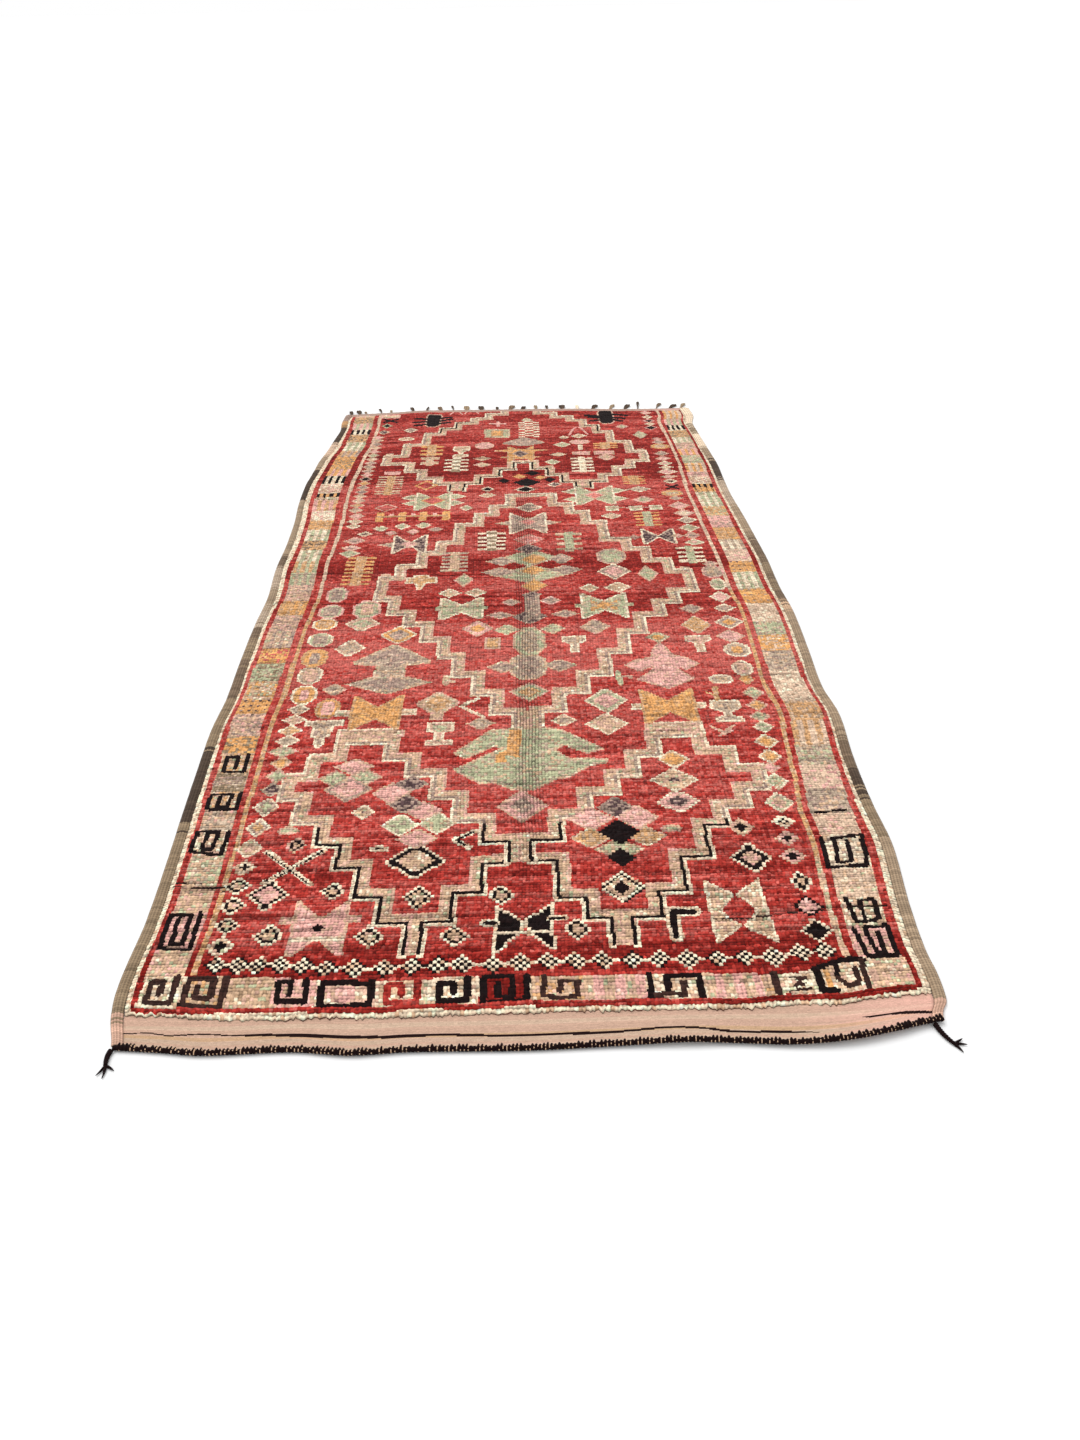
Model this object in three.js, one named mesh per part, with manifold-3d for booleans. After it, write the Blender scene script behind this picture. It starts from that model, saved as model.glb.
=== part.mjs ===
// A hand-knotted wool runner rug lying on a floor: one knotted cloth with a flat-woven end,
// an overcast goat-hair binding down each side, a black corded edging across the near end,
// a corded tassel at each near corner, and a knotted fringe across the far end.
//
// Millimetres, +Z up. X runs across the rug, Y along it from the flat-woven end to the fringe.
// The tables are written from the rug's own lines: "across" from its middle, "along" from the
// red guard line at the near end. The whole rug is then centred over the origin.

import * as THREE from 'three';
import Module from 'manifold-3d';

const wasm = await Module();
wasm.setup();

// Driving sizes
const CLEARANCE = 0.3;           // between two pieces that are sewn together
const WOVEN_THICK = 4;           // flat-woven ends
const PILE_THICK = 12;           // ground weave and knotted pile together
const PILE_RIM_THICK = 8.5;      // pile at the side bindings, where it lies over
const NEAR_END = -105;           // nominal line of the near edge
const WOVEN_STOPS = -24;         // last line of the near flat weave
const PILE_STARTS = -15;         // first full row of knots
const PILE_STOPS = 3696;         // last full row of knots
const FAR_WEAVE_STARTS = 3706;
const FAR_END = 3738;            // nominal line of the far edge
const ROW_PITCH = 88;            // spacing of the sections along the pile
const NEAR_ROWS = 4;             // sections along the near flat weave
const COLUMNS = 20;              // spacing of the sections across
const RIM_SHARE = 0.01;          // share of the width over which the pile rolls down at a side
const FAR_WARP_STARTS = 2500;    // the far edge's bow dies out here
const BINDING_WIDTH = 21;
const BINDING_THICK = 9;
const BINDING_RIBS = 4;          // cords bundled side by side in each binding
const BINDING_GROOVE = 1.6;      // depth of the furrow between two of those cords
const BINDING_ARC = [0.2, 0.8];  // the part of a half round that its top follows
const EDGING_RADIUS = 5;
const EDGING_SIDES = 8;
const EDGING_FLAT = EDGING_RADIUS * Math.cos(Math.PI / EDGING_SIDES);
const FRINGE_STRIP_WIDTH = 6;
const FRINGE_STRIP_THICK = 4;
const ROOT_DEPTH = 4;            // how far a lock's root is sunk into its strip
const LOCK_SHOULDER = 0.6;       // a lock's width on top, as a share of its width below

// The outer edges of the bindings
const EDGES = [
  { along: -105, left: -711, right: 716 },
  { along: -40, left: -724, right: 732 },
  { along: 40, left: -736, right: 737 },
  { along: 120, left: -737, right: 734 },
  { along: 250, left: -733, right: 741 },
  { along: 450, left: -739, right: 760 },
  { along: 600, left: -746, right: 757 },
  { along: 800, left: -754, right: 761 },
  { along: 1000, left: -760, right: 774 },
  { along: 1150, left: -754, right: 763 },
  { along: 1350, left: -758, right: 771 },
  { along: 1600, left: -760, right: 778 },
  { along: 1780, left: -757, right: 770 },
  { along: 2000, left: -770, right: 770 },
  { along: 2200, left: -770, right: 762 },
  { along: 2400, left: -776, right: 755 },
  { along: 2600, left: -790, right: 747 },
  { along: 2800, left: -793, right: 746 },
  { along: 2950, left: -784, right: 745 },
  { along: 3100, left: -775, right: 736 },
  { along: 3250, left: -757, right: 730 },
  { along: 3400, left: -749, right: 722 },
  { along: 3520, left: -744, right: 716 },
  { along: 3620, left: -748, right: 726 },
  { along: 3738, left: -745, right: 716 },
];

// The near edge: the line of the edging's core, and how far the loose flat weave stands off
// the floor there
const NEAR_EDGE = [
  { across: -716, along: -84, lift: 0 },
  { across: -620, along: -95, lift: 0.5 },
  { across: -550, along: -104, lift: 1 },
  { across: -400, along: -101, lift: 0.5 },
  { across: -300, along: -113, lift: 1.5 },
  { across: -200, along: -108, lift: 1 },
  { across: 0, along: -111, lift: 0.5 },
  { across: 150, along: -107, lift: 2 },
  { across: 270, along: -106, lift: 6 },
  { across: 350, along: -108, lift: 3 },
  { across: 450, along: -116, lift: 4 },
  { across: 540, along: -113, lift: 8 },
  { across: 620, along: -96, lift: 8 },
  { across: 680, along: -77, lift: 5 },
  { across: 724, along: -66, lift: 2 },
];

// The far edge bows away from the near end left of the middle
const FAR_EDGE = [
  { across: -745, along: 3704 },
  { across: -650, along: 3718 },
  { across: -550, along: 3728 },
  { across: -430, along: 3750 },
  { across: -300, along: 3747 },
  { across: -150, along: 3742 },
  { across: 150, along: 3735 },
  { across: 300, along: 3724 },
  { across: 420, along: 3710 },
  { across: 560, along: 3703 },
  { across: 720, along: 3706 },
];

// The far fringe: each lock's root across the rug, how far it leans and reaches, and its girth
const LOCKS = [
  { across: -728, lean: -6, reach: 62, girth: 15 },
  { across: -690, lean: -14, reach: 60, girth: 20 },
  { across: -664, lean: -6, reach: 38, girth: 11 },
  { across: -600, lean: -12, reach: 78, girth: 10 },
  { across: -555, lean: -6, reach: 42, girth: 10 },
  { across: -463, lean: -12, reach: 64, girth: 13 },
  { across: -400, lean: 0, reach: 68, girth: 9 },
  { across: -340, lean: -12, reach: 58, girth: 18 },
  { across: -285, lean: -13, reach: 84, girth: 8 },
  { across: -228, lean: -4, reach: 62, girth: 24 },
  { across: -165, lean: -3, reach: 58, girth: 23 },
  { across: -98, lean: 3, reach: 46, girth: 12 },
  { across: -42, lean: 17, reach: 62, girth: 22 },
  { across: 10, lean: 16, reach: 44, girth: 16 },
  { across: 74, lean: -3, reach: 62, girth: 15 },
  { across: 120, lean: 1, reach: 60, girth: 12 },
  { across: 187, lean: 0, reach: 58, girth: 26 },
  { across: 255, lean: -1, reach: 68, girth: 12 },
  { across: 318, lean: 22, reach: 62, girth: 20 },
  { across: 394, lean: 22, reach: 72, girth: 17 },
  { across: 458, lean: 24, reach: 74, girth: 19 },
  { across: 515, lean: 10, reach: 128, girth: 11 },
  { across: 595, lean: 27, reach: 98, girth: 11 },
  { across: 652, lean: 34, reach: 62, girth: 18 },
  { across: 702, lean: 22, reach: 78, girth: 17 },
];

// A lock's girth and height along it: a thin plait, a knot, then a combed-out tip
const LOCK_PROFILE = [
  { share: 0, girth: 0.42, height: 3.6 },
  { share: 0.38, girth: 0.5, height: 4.5 },
  { share: 0.62, girth: 1, height: 8 },
  { share: 0.82, girth: 0.9, height: 6 },
  { share: 1, girth: 0.35, height: 2 },
];

// A lock's loose second tip, from its knot
const TIP_PROFILE = [
  { share: 0, girth: 0.5, height: 5.5 },
  { share: 0.6, girth: 0.38, height: 3.5 },
  { share: 1, girth: 0.2, height: 1.6 },
];
const TIP_STARTS = 0.6;
const TIP_SPREAD = 0.7;          // sideways reach of the second tip, in girths
const TIP_REACH = 0.34;          // its length, as a share of the lock's

// The corner tassels: the line of the corded end, then its parted strands
const LEFT_TASSEL = {
  cord: [
    { across: -708, along: -90 },
    { across: -712, along: -104 },
    { across: -708, along: -124 },
  ],
  strands: [
    { across: -718, along: -146 },
    { across: -706, along: -153 },
    { across: -691, along: -136 },
  ],
};
const RIGHT_TASSEL = {
  cord: [
    { across: 698, along: -77.5 },
    { across: 702, along: -102 },
    { across: 716, along: -124 },
  ],
  strands: [
    { across: 734, along: -112 },
    { across: 738, along: -126 },
    { across: 726, along: -144 },
  ],
};
const TASSEL_GIRTH = 9;
const TASSEL_THICK = 7.5;
const STRAND_GIRTH = 5;
const STRAND_THICK = 4.5;
const STRAND_TAPER = [1, 0.9, 0.6];
const STRAND_ROOT = 0.8;         // where the strands leave the last stretch of the cord
const STRAND_BEND = 0.4;         // where a strand turns aside

// Wool and hair colours
const yarn = (name, colour) =>
  new THREE.MeshStandardMaterial({ name, color: colour, roughness: 0.95, metalness: 0 });
const redWool = yarn('red_wool', 0xb83a36);
const goatHair = yarn('goat_hair', 0x8f806a);
const blackWool = yarn('black_wool', 0x1d1815);
const fringeWool = yarn('fringe_wool', 0x4e4c40);

// Smooth value of a table's column at a place on its key: a cubic through the rows
function readTable(table, key, column, place) {
  const last = table.length - 1;
  const at = THREE.MathUtils.clamp(place, table[0][key], table[last][key]);
  let i = 0;
  while (i < last - 1 && at > table[i + 1][key]) {
    i += 1;
  }
  const slopeAt = (k) => {
    const before = table[Math.max(k - 1, 0)];
    const after = table[Math.min(k + 1, last)];
    return (after[column] - before[column]) / (after[key] - before[key]);
  };
  const from = table[i];
  const to = table[i + 1];
  const span = to[key] - from[key];
  const t = (at - from[key]) / span;
  const u = 1 - t;
  return (
    from[column] * u * u * (1 + 2 * t) +
    to[column] * t * t * (1 + 2 * u) +
    span * t * u * (slopeAt(i) * u - slopeAt(i + 1) * t)
  );
}

// Where a nominal row lies at a place across: straight in the middle of the rug, bent to the
// two ends' own lines near them
function alongAt(across, row) {
  const nearFade = 1 - THREE.MathUtils.smoothstep(row, NEAR_END, 0);
  const farFade = THREE.MathUtils.smoothstep(row, FAR_WARP_STARTS, FAR_END);
  const edgingBack = EDGING_FLAT + CLEARANCE;
  const nearLine = readTable(NEAR_EDGE, 'across', 'along', across) + edgingBack;
  const farLine = readTable(FAR_EDGE, 'across', 'along', across);
  return row + (nearLine - NEAR_END) * nearFade + (farLine - FAR_END) * farFade;
}

// How far the rug's underside stands off the floor: only the loose near end does
function liftAt(across, row) {
  const slack = THREE.MathUtils.clamp((PILE_STARTS - row) / (PILE_STARTS - NEAR_END), 0, 1);
  return readTable(NEAR_EDGE, 'across', 'lift', across) * slack * slack;
}

const clothLeft = (row) => readTable(EDGES, 'along', 'left', row) + BINDING_WIDTH + CLEARANCE;
const clothRight = (row) => readTable(EDGES, 'along', 'right', row) - BINDING_WIDTH - CLEARANCE;

// The rows along the rug where its cross-section is set out
function rowLines() {
  const pileRows = Math.round((PILE_STOPS - PILE_STARTS) / ROW_PITCH);
  const rows = [];
  for (let i = 0; i < NEAR_ROWS; i += 1) {
    rows.push(THREE.MathUtils.lerp(NEAR_END, WOVEN_STOPS, i / (NEAR_ROWS - 1)));
  }
  for (let i = 0; i <= pileRows; i += 1) {
    rows.push(THREE.MathUtils.lerp(PILE_STARTS, PILE_STOPS, i / pileRows));
  }
  rows.push(FAR_WEAVE_STARTS, FAR_END);
  return rows;
}
const ROWS = rowLines();

// The shares of the cloth's width where its long section is set out
function columnShares() {
  const shares = [0, RIM_SHARE];
  for (let i = 1; i < COLUMNS; i += 1) {
    shares.push(i / COLUMNS);
  }
  shares.push(1 - RIM_SHARE, 1);
  return shares;
}
const SHARES = columnShares();
const acrossAt = (share, row) => THREE.MathUtils.lerp(clothLeft(row), clothRight(row), share);

// The places across an end where its edging or fringe strip is set out, bindings included
const endStations = (row) => [
  clothLeft(row) - BINDING_WIDTH,
  ...SHARES.map((share) => acrossAt(share, row)),
  clothRight(row) + BINDING_WIDTH,
];

// A closed mesh from points and triangles, turned so that its faces point out
function closedGeometry(points, triangles) {
  const volume = triangles.reduce((sum, [a, b, c]) => {
    const cross = new THREE.Vector3().crossVectors(points[b], points[c]);
    return sum + points[a].dot(cross);
  }, 0);
  const facing = volume > 0 ? triangles : triangles.map(([a, b, c]) => [a, c, b]);
  const geometry = new THREE.BufferGeometry().setFromPoints(points);
  geometry.setIndex(facing.flat());
  geometry.computeVertexNormals();
  return geometry;
}

// A solid through a row of like sections, each a ring of points, closed by a fan at each end
function sweep(sections) {
  const sides = sections[0].length;
  const points = sections.flat();
  const triangles = [];
  for (let i = 0; i < sections.length - 1; i += 1) {
    for (let k = 0; k < sides; k += 1) {
      const a = i * sides + k;
      const b = i * sides + ((k + 1) % sides);
      triangles.push([a, b, b + sides], [a, b + sides, a + sides]);
    }
  }
  const capEnd = (first, forwards) => {
    const ring = points.slice(first, first + sides);
    const centre = ring.reduce((sum, p) => sum.add(p), new THREE.Vector3()).divideScalar(sides);
    points.push(centre);
    const hub = points.length - 1;
    for (let k = 0; k < sides; k += 1) {
      const a = first + k;
      const b = first + ((k + 1) % sides);
      triangles.push(forwards ? [hub, a, b] : [hub, b, a]);
    }
  };
  const lastRing = (sections.length - 1) * sides;
  capEnd(0, false);
  capEnd(lastRing, true);
  return closedGeometry(points, triangles);
}

// The knotted cloth with its flat-woven ends: a top surface over a level underside, whose
// near end alone stands off the floor
function knottedCloth() {
  const wide = SHARES.length;
  const thicknessAt = (column, row) => {
    if (row <= WOVEN_STOPS || row >= FAR_WEAVE_STARTS) {
      return WOVEN_THICK;
    }
    const onRim = column === 0 || column === wide - 1;
    return onRim ? PILE_RIM_THICK : PILE_THICK;
  };

  const top = [];
  const under = [];
  ROWS.forEach((row) => {
    SHARES.forEach((share, column) => {
      const across = acrossAt(share, row);
      const y = alongAt(across, row);
      const lift = liftAt(across, row);
      top.push(new THREE.Vector3(across, y, lift + thicknessAt(column, row)));
      under.push(new THREE.Vector3(across, y, lift));
    });
  });

  const looseRows = ROWS.filter((row) => row <= PILE_STARTS).length - 1;
  const lastRow = ROWS.length - 1;
  const low = top.length;
  const triangles = [];
  const quad = (a, b, c, d) => triangles.push([a, b, c], [a, c, d]);
  for (let i = 0; i < lastRow; i += 1) {
    for (let k = 0; k < wide - 1; k += 1) {
      const a = i * wide + k;
      quad(a, a + 1, a + wide + 1, a + wide);
      if (i < looseRows) {
        quad(low + a, low + a + wide, low + a + wide + 1, low + a + 1);
      }
    }
    const left = i * wide;
    const right = left + wide - 1;
    quad(left, left + wide, low + left + wide, low + left);
    quad(right, low + right, low + right + wide, right + wide);
  }
  for (let k = 0; k < wide - 1; k += 1) {
    const far = lastRow * wide + k;
    quad(k, low + k, low + k + 1, k + 1);
    quad(far, far + 1, low + far + 1, low + far);
  }

  // The rest of the underside lies level on the floor, so it is one flat outline
  const rim = [];
  for (let k = 0; k < wide; k += 1) {
    rim.push(looseRows * wide + k);
  }
  for (let i = looseRows + 1; i <= lastRow; i += 1) {
    rim.push(i * wide + wide - 1);
  }
  for (let k = wide - 2; k >= 0; k -= 1) {
    rim.push(lastRow * wide + k);
  }
  for (let i = lastRow - 1; i > looseRows; i -= 1) {
    rim.push(i * wide);
  }
  const outline = rim.map((index) => new THREE.Vector2(under[index].x, under[index].y));
  THREE.ShapeUtils.triangulateShape(outline, []).forEach(([a, b, c]) => {
    const turned = THREE.ShapeUtils.area([outline[a], outline[b], outline[c]]) > 0;
    const [p, q, r] = turned ? [a, c, b] : [a, b, c];
    triangles.push([low + rim[p], low + rim[q], low + rim[r]]);
  });
  return closedGeometry([...top, ...under], triangles);
}

// A side binding: hair overcast round a few cords, flat below and ribbed above
function sideBinding(side) {
  const outward = side === 'left' ? -1 : 1;
  const inner = (row) => (side === 'left' ? clothLeft(row) : clothRight(row));
  const profile = [];
  const crests = BINDING_RIBS * 2;
  for (let i = 0; i <= crests; i += 1) {
    const share = i / crests;
    const crown = Math.sin(Math.PI * THREE.MathUtils.lerp(...BINDING_ARC, share));
    const groove = i % 2 === 0 ? BINDING_GROOVE : 0;
    profile.push({ out: share * BINDING_WIDTH, up: BINDING_THICK * crown - groove });
  }
  profile.push({ out: BINDING_WIDTH, up: 0 }, { out: 0, up: 0 });
  const sections = ROWS.map((row) =>
    profile.map(({ out, up }) => {
      const across = inner(row) + outward * (CLEARANCE + out);
      return new THREE.Vector3(across, alongAt(across, row), liftAt(across, row) + up);
    }),
  );
  return sweep(sections);
}

// The near edging: a fat overcast cord that follows the edge's ripples
function nearEdging() {
  const sections = endStations(NEAR_END).map((across) => {
    const along = readTable(NEAR_EDGE, 'across', 'along', across);
    const lift = readTable(NEAR_EDGE, 'across', 'lift', across);
    const ring = [];
    for (let k = 0; k < EDGING_SIDES; k += 1) {
      const angle = (2 * Math.PI * (k + 0.5)) / EDGING_SIDES;
      const out = Math.cos(angle) * EDGING_RADIUS;
      const up = Math.sin(angle) * EDGING_RADIUS + EDGING_FLAT;
      ring.push(new THREE.Vector3(across, along + out, lift + up));
    }
    return ring;
  });
  return sweep(sections);
}

// A lock of yarn lying on the floor: four-sided sections along its line, level underneath
function lock(line, sizes) {
  const sections = line.map((point, i) => {
    const before = line[Math.max(i - 1, 0)];
    const after = line[Math.min(i + 1, line.length - 1)];
    const heading = new THREE.Vector2(after.x - before.x, after.y - before.y).normalize();
    const half = sizes[i].girth / 2;
    const corner = (reach, up) =>
      new THREE.Vector3(point.x - heading.y * reach, point.y + heading.x * reach, up);
    return [
      corner(-half, 0),
      corner(half, 0),
      corner(half * LOCK_SHOULDER, sizes[i].height),
      corner(-half * LOCK_SHOULDER, sizes[i].height),
    ];
  });
  return sweep(sections);
}

// Joins several closed shapes into one
function fuse(geometries) {
  const solidOf = (geometry) =>
    new wasm.Manifold(
      new wasm.Mesh({
        numProp: 3,
        vertProperties: new Float32Array(geometry.getAttribute('position').array),
        triVerts: new Uint32Array(geometry.getIndex().array),
      }),
    );
  const joined = geometries.map(solidOf).reduce((whole, piece) => whole.add(piece));
  const mesh = joined.getMesh();
  const geometry = new THREE.BufferGeometry();
  geometry.setAttribute('position', new THREE.BufferAttribute(mesh.vertProperties, 3));
  geometry.setIndex(new THREE.BufferAttribute(mesh.triVerts, 1));
  geometry.computeVertexNormals();
  return geometry;
}

// The far fringe: a narrow plaited strip parted from the cloth, and the knotted locks in it
function farFringe() {
  const edgeAt = (across) => readTable(FAR_EDGE, 'across', 'along', across) + CLEARANCE;
  const strip = endStations(FAR_END).map((across) => {
    const near = edgeAt(across);
    const far = near + FRINGE_STRIP_WIDTH;
    return [
      new THREE.Vector3(across, near, 0),
      new THREE.Vector3(across, far, 0),
      new THREE.Vector3(across, far, FRINGE_STRIP_THICK),
      new THREE.Vector3(across, near, FRINGE_STRIP_THICK),
    ];
  });
  const pieces = [sweep(strip)];
  LOCKS.forEach(({ across, lean, reach, girth }, number) => {
    const root = edgeAt(across) + FRINGE_STRIP_WIDTH - ROOT_DEPTH;
    const pointAt = (share) =>
      new THREE.Vector2(across + lean * share * share, root + (reach + ROOT_DEPTH) * share);
    pieces.push(
      lock(
        LOCK_PROFILE.map((row) => pointAt(row.share)),
        LOCK_PROFILE.map((row) => ({ girth: row.girth * girth, height: row.height })),
      ),
    );
    const outward = number % 2 === 0 ? 1 : -1;
    const knot = pointAt(TIP_STARTS);
    const tipAt = (share) =>
      new THREE.Vector2(
        knot.x + outward * girth * TIP_SPREAD * share,
        knot.y + reach * TIP_REACH * share,
      );
    pieces.push(
      lock(
        TIP_PROFILE.map((row) => tipAt(row.share)),
        TIP_PROFILE.map((row) => ({ girth: row.girth * girth, height: row.height })),
      ),
    );
  });
  return fuse(pieces);
}

// A corner tassel: the edging's corded end, parted into strands at its tip
function cornerTassel({ cord, strands }) {
  const asPoint = ({ across, along }) => new THREE.Vector2(across, along);
  const line = cord.map(asPoint);
  const head = lock(
    line,
    line.map(() => ({ girth: TASSEL_GIRTH, height: TASSEL_THICK })),
  );
  const end = line[line.length - 1];
  const start = line[line.length - 2].clone().lerp(end, STRAND_ROOT);
  const tips = strands.map((strand) =>
    lock(
      [start, end.clone().lerp(asPoint(strand), STRAND_BEND), asPoint(strand)],
      STRAND_TAPER.map((share) => ({
        girth: STRAND_GIRTH * share,
        height: STRAND_THICK * share,
      })),
    ),
  );
  return fuse([head, ...tips]);
}

function addPiece(group, name, geometry, material) {
  const mesh = new THREE.Mesh(geometry, material);
  mesh.name = name;
  group.add(mesh);
}

const rug = new THREE.Group();
addPiece(rug, 'rug_cloth', knottedCloth(), redWool);
addPiece(rug, 'left_binding', sideBinding('left'), goatHair);
addPiece(rug, 'right_binding', sideBinding('right'), goatHair);
addPiece(rug, 'near_edging', nearEdging(), blackWool);
addPiece(rug, 'near_left_tassel', cornerTassel(LEFT_TASSEL), blackWool);
addPiece(rug, 'near_right_tassel', cornerTassel(RIGHT_TASSEL), blackWool);
addPiece(rug, 'far_fringe', farFringe(), fringeWool);

// Centre the rug over the origin, with its underside on the floor
const reach = new THREE.Box3().setFromObject(rug, true);
const middle = reach.getCenter(new THREE.Vector3());
rug.position.set(-middle.x, -middle.y, -reach.min.z);

export default rug;
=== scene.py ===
"""Berber runner rug on a pale floor: knotted pile, flat woven ends, overcast sides, edging and fringe."""

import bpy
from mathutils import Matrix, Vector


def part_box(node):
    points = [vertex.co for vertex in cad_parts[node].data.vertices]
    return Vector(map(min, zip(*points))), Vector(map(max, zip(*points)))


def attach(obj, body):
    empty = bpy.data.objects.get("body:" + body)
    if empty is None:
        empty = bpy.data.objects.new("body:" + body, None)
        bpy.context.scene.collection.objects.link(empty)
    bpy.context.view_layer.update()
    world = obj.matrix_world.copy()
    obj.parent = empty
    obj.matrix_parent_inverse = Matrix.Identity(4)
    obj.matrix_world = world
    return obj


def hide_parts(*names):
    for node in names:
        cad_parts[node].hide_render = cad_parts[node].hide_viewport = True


bl_info = {
    "name": "Berber runner rug",
    "version": (1, 0, 0),
    "blender": (4, 5, 0),
    "location": "3D View > Sidebar > Rug",
    "description": "Ties, weaves and edges a long knotted rug around its packed solids",
    "category": "Object",
}

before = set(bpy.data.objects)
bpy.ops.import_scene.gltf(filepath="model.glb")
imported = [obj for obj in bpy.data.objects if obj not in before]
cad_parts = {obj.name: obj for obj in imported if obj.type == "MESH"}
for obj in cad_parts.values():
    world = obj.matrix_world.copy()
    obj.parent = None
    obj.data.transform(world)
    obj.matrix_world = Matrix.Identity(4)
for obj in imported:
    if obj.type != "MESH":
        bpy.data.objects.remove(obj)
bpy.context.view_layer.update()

import bpy
import numpy as np
from bpy.props import FloatProperty, FloatVectorProperty, IntProperty, PointerProperty
from mathutils import Matrix, Vector

MM = 0.001
SEED = 11

# The loom: "across" is counted from the middle between the side guard lines, "along" from the
# red guard line at the near end, both in millimetres. A "row" is a line of the loom before the
# ends were pulled out of straight.
NEAR_END = -105
PILE_STARTS = -15
PILE_STOPS = 3696
FAR_END = 3738
FAR_WARP_STARTS = 2500
CLEARANCE = 0.3
BINDING_WIDTH = 21
EDGING_RADIUS = 5
EDGING_FLAT = EDGING_RADIUS * np.cos(np.pi / 8)
GROUND_THICK = 4
PILE_ROOT = 3.6

# How finely the cloth's outline is looked along for its lowest corner
LOOK_ROWS = 800
LOOK_COLUMNS = 400

# Outer edges of the two bindings: row, left, right
EDGES = (
    (-105, -711, 716), (-40, -724, 732), (40, -736, 737), (120, -737, 734), (250, -733, 741),
    (450, -739, 760), (600, -746, 757), (800, -754, 761), (1000, -760, 774), (1150, -754, 763),
    (1350, -758, 771), (1600, -760, 778), (1780, -757, 770), (2000, -770, 770), (2200, -770, 762),
    (2400, -776, 755), (2600, -790, 747), (2800, -793, 746), (2950, -784, 745), (3100, -775, 736),
    (3250, -757, 730), (3400, -749, 722), (3520, -744, 716), (3620, -748, 726), (3738, -745, 716),
)

# Core of the near edging: across, along, lift off the floor
NEAR_EDGE = (
    (-716, -84, 0), (-620, -95, 0.5), (-550, -104, 1), (-400, -101, 0.5), (-300, -113, 1.5),
    (-200, -108, 1), (0, -111, 0.5), (150, -107, 2), (270, -106, 6), (350, -108, 3), (450, -116, 4),
    (540, -113, 8), (620, -96, 8), (680, -77, 5), (724, -66, 2),
)

# Far end of the weave: across, along
FAR_EDGE = (
    (-745, 3704), (-650, 3718), (-550, 3728), (-430, 3750), (-300, 3747), (-150, 3742), (150, 3735),
    (300, 3724), (420, 3710), (560, 3703), (720, 3706),
)

# Uneven line where the pile begins: across, along
TUFT_EDGE = (
    (-722, -6), (-640, -12), (-560, -23), (-480, -27), (-420, -29), (-360, -27), (-300, -29), (-200, -29),
    (-100, -27), (0, -26), (60, -24), (160, -26), (240, -27), (320, -28), (380, -31), (430, -26),
    (500, -23), (560, -23), (600, -14), (650, -7), (730, -1),
)
TUFT_DRAW = 110

# Red guard line of the near end, and far side of its blocks: across, along
FRONT_RED = (
    (-710, 3), (-640, -3), (-540, -8), (-460, -9), (-400, -11), (-300, -14), (-200, -12), (-100, -11),
    (20, -9), (150, -10), (240, -11), (300, -12), (400, -15), (460, -8), (560, -9), (600, -3), (650, 6),
    (710, 13),
)
FRONT_TOP = (
    (-710, 86), (-620, 83), (-540, 80), (-460, 75), (-400, 67), (-340, 60), (-100, 63), (100, 62),
    (210, 60), (320, 58), (440, 53), (500, 57), (540, 76), (570, 88), (710, 90),
)
FRONT_RED_HALF = 6.5

# Lines of the side borders by their distance from the edge of the pile: along, end of the cream
# guard, start and end of the blocks, start and end of the gold line
LEFT_LINES = (
    (0, 11, 23, 93, 105, 115), (200, 10, 23, 92, 104, 114), (600, 13, 25, 95, 110, 121),
    (800, 11, 25, 101, 114, 125), (1100, 7, 19, 97, 115, 127), (1480, 11, 23, 101, 119, 131),
    (1900, 15, 31, 107, 129, 140), (2300, 19, 34, 112, 137, 149), (2800, 19, 36, 121, 147, 160),
    (3200, 18, 36, 115, 138, 151), (3500, 9, 26, 107, 126, 139),
)
RIGHT_LINES = (
    (0, 14, 29, 106, 118, 130), (300, 16, 32, 114, 130, 142), (540, 15, 31, 122, 136, 147),
    (700, 10, 24, 111, 122, 133), (1100, 7, 20, 100, 116, 128), (1450, 12, 23, 105, 120, 131),
    (2060, 12, 25, 102, 122, 134), (2460, 10, 24, 100, 120, 132), (2800, 12, 25, 103, 116, 128),
    (3100, 8, 20, 95, 107, 118), (3450, 7, 16, 90, 104, 116),
)
GOLD_STARTS = 86
GOLD_FADES = 1750
TAN_STOPS = 400

# Partings between rows that the photograph shows: along, from, to
PARTINGS = (
    (352, -708, -560), (341, -700, -585), (365, -706, -655), (240, 560, 708), (230, 440, 600),
    (220, 345, 480), (250, -600, -440), (205, -560, -330), (262, -420, -190), (292, -330, -120),
    (236, -260, -80), (470, -420, -250), (436, 300, 470), (552, -120, 40), (590, 60, 260),
    (618, -500, -330), (480, 480, 640), (700, -80, 90), (745, 180, 330),
)
PARTING_DEPTH = 3.0

# Loose partings: number, reach along, crowding to the near end, reach aside, half lengths
LOOSE_PARTINGS = 110
LOOSE_FROM = 150
LOOSE_LENGTH = 3500
LOOSE_CROWDING = 1.6
LOOSE_ASIDE = 650
LOOSE_HALVES = (30, 150)

# A parting's own line and the next one: steps along, share of the depth
PARTING_STEPS = ((0, 1), (1, 0.45))

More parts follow.
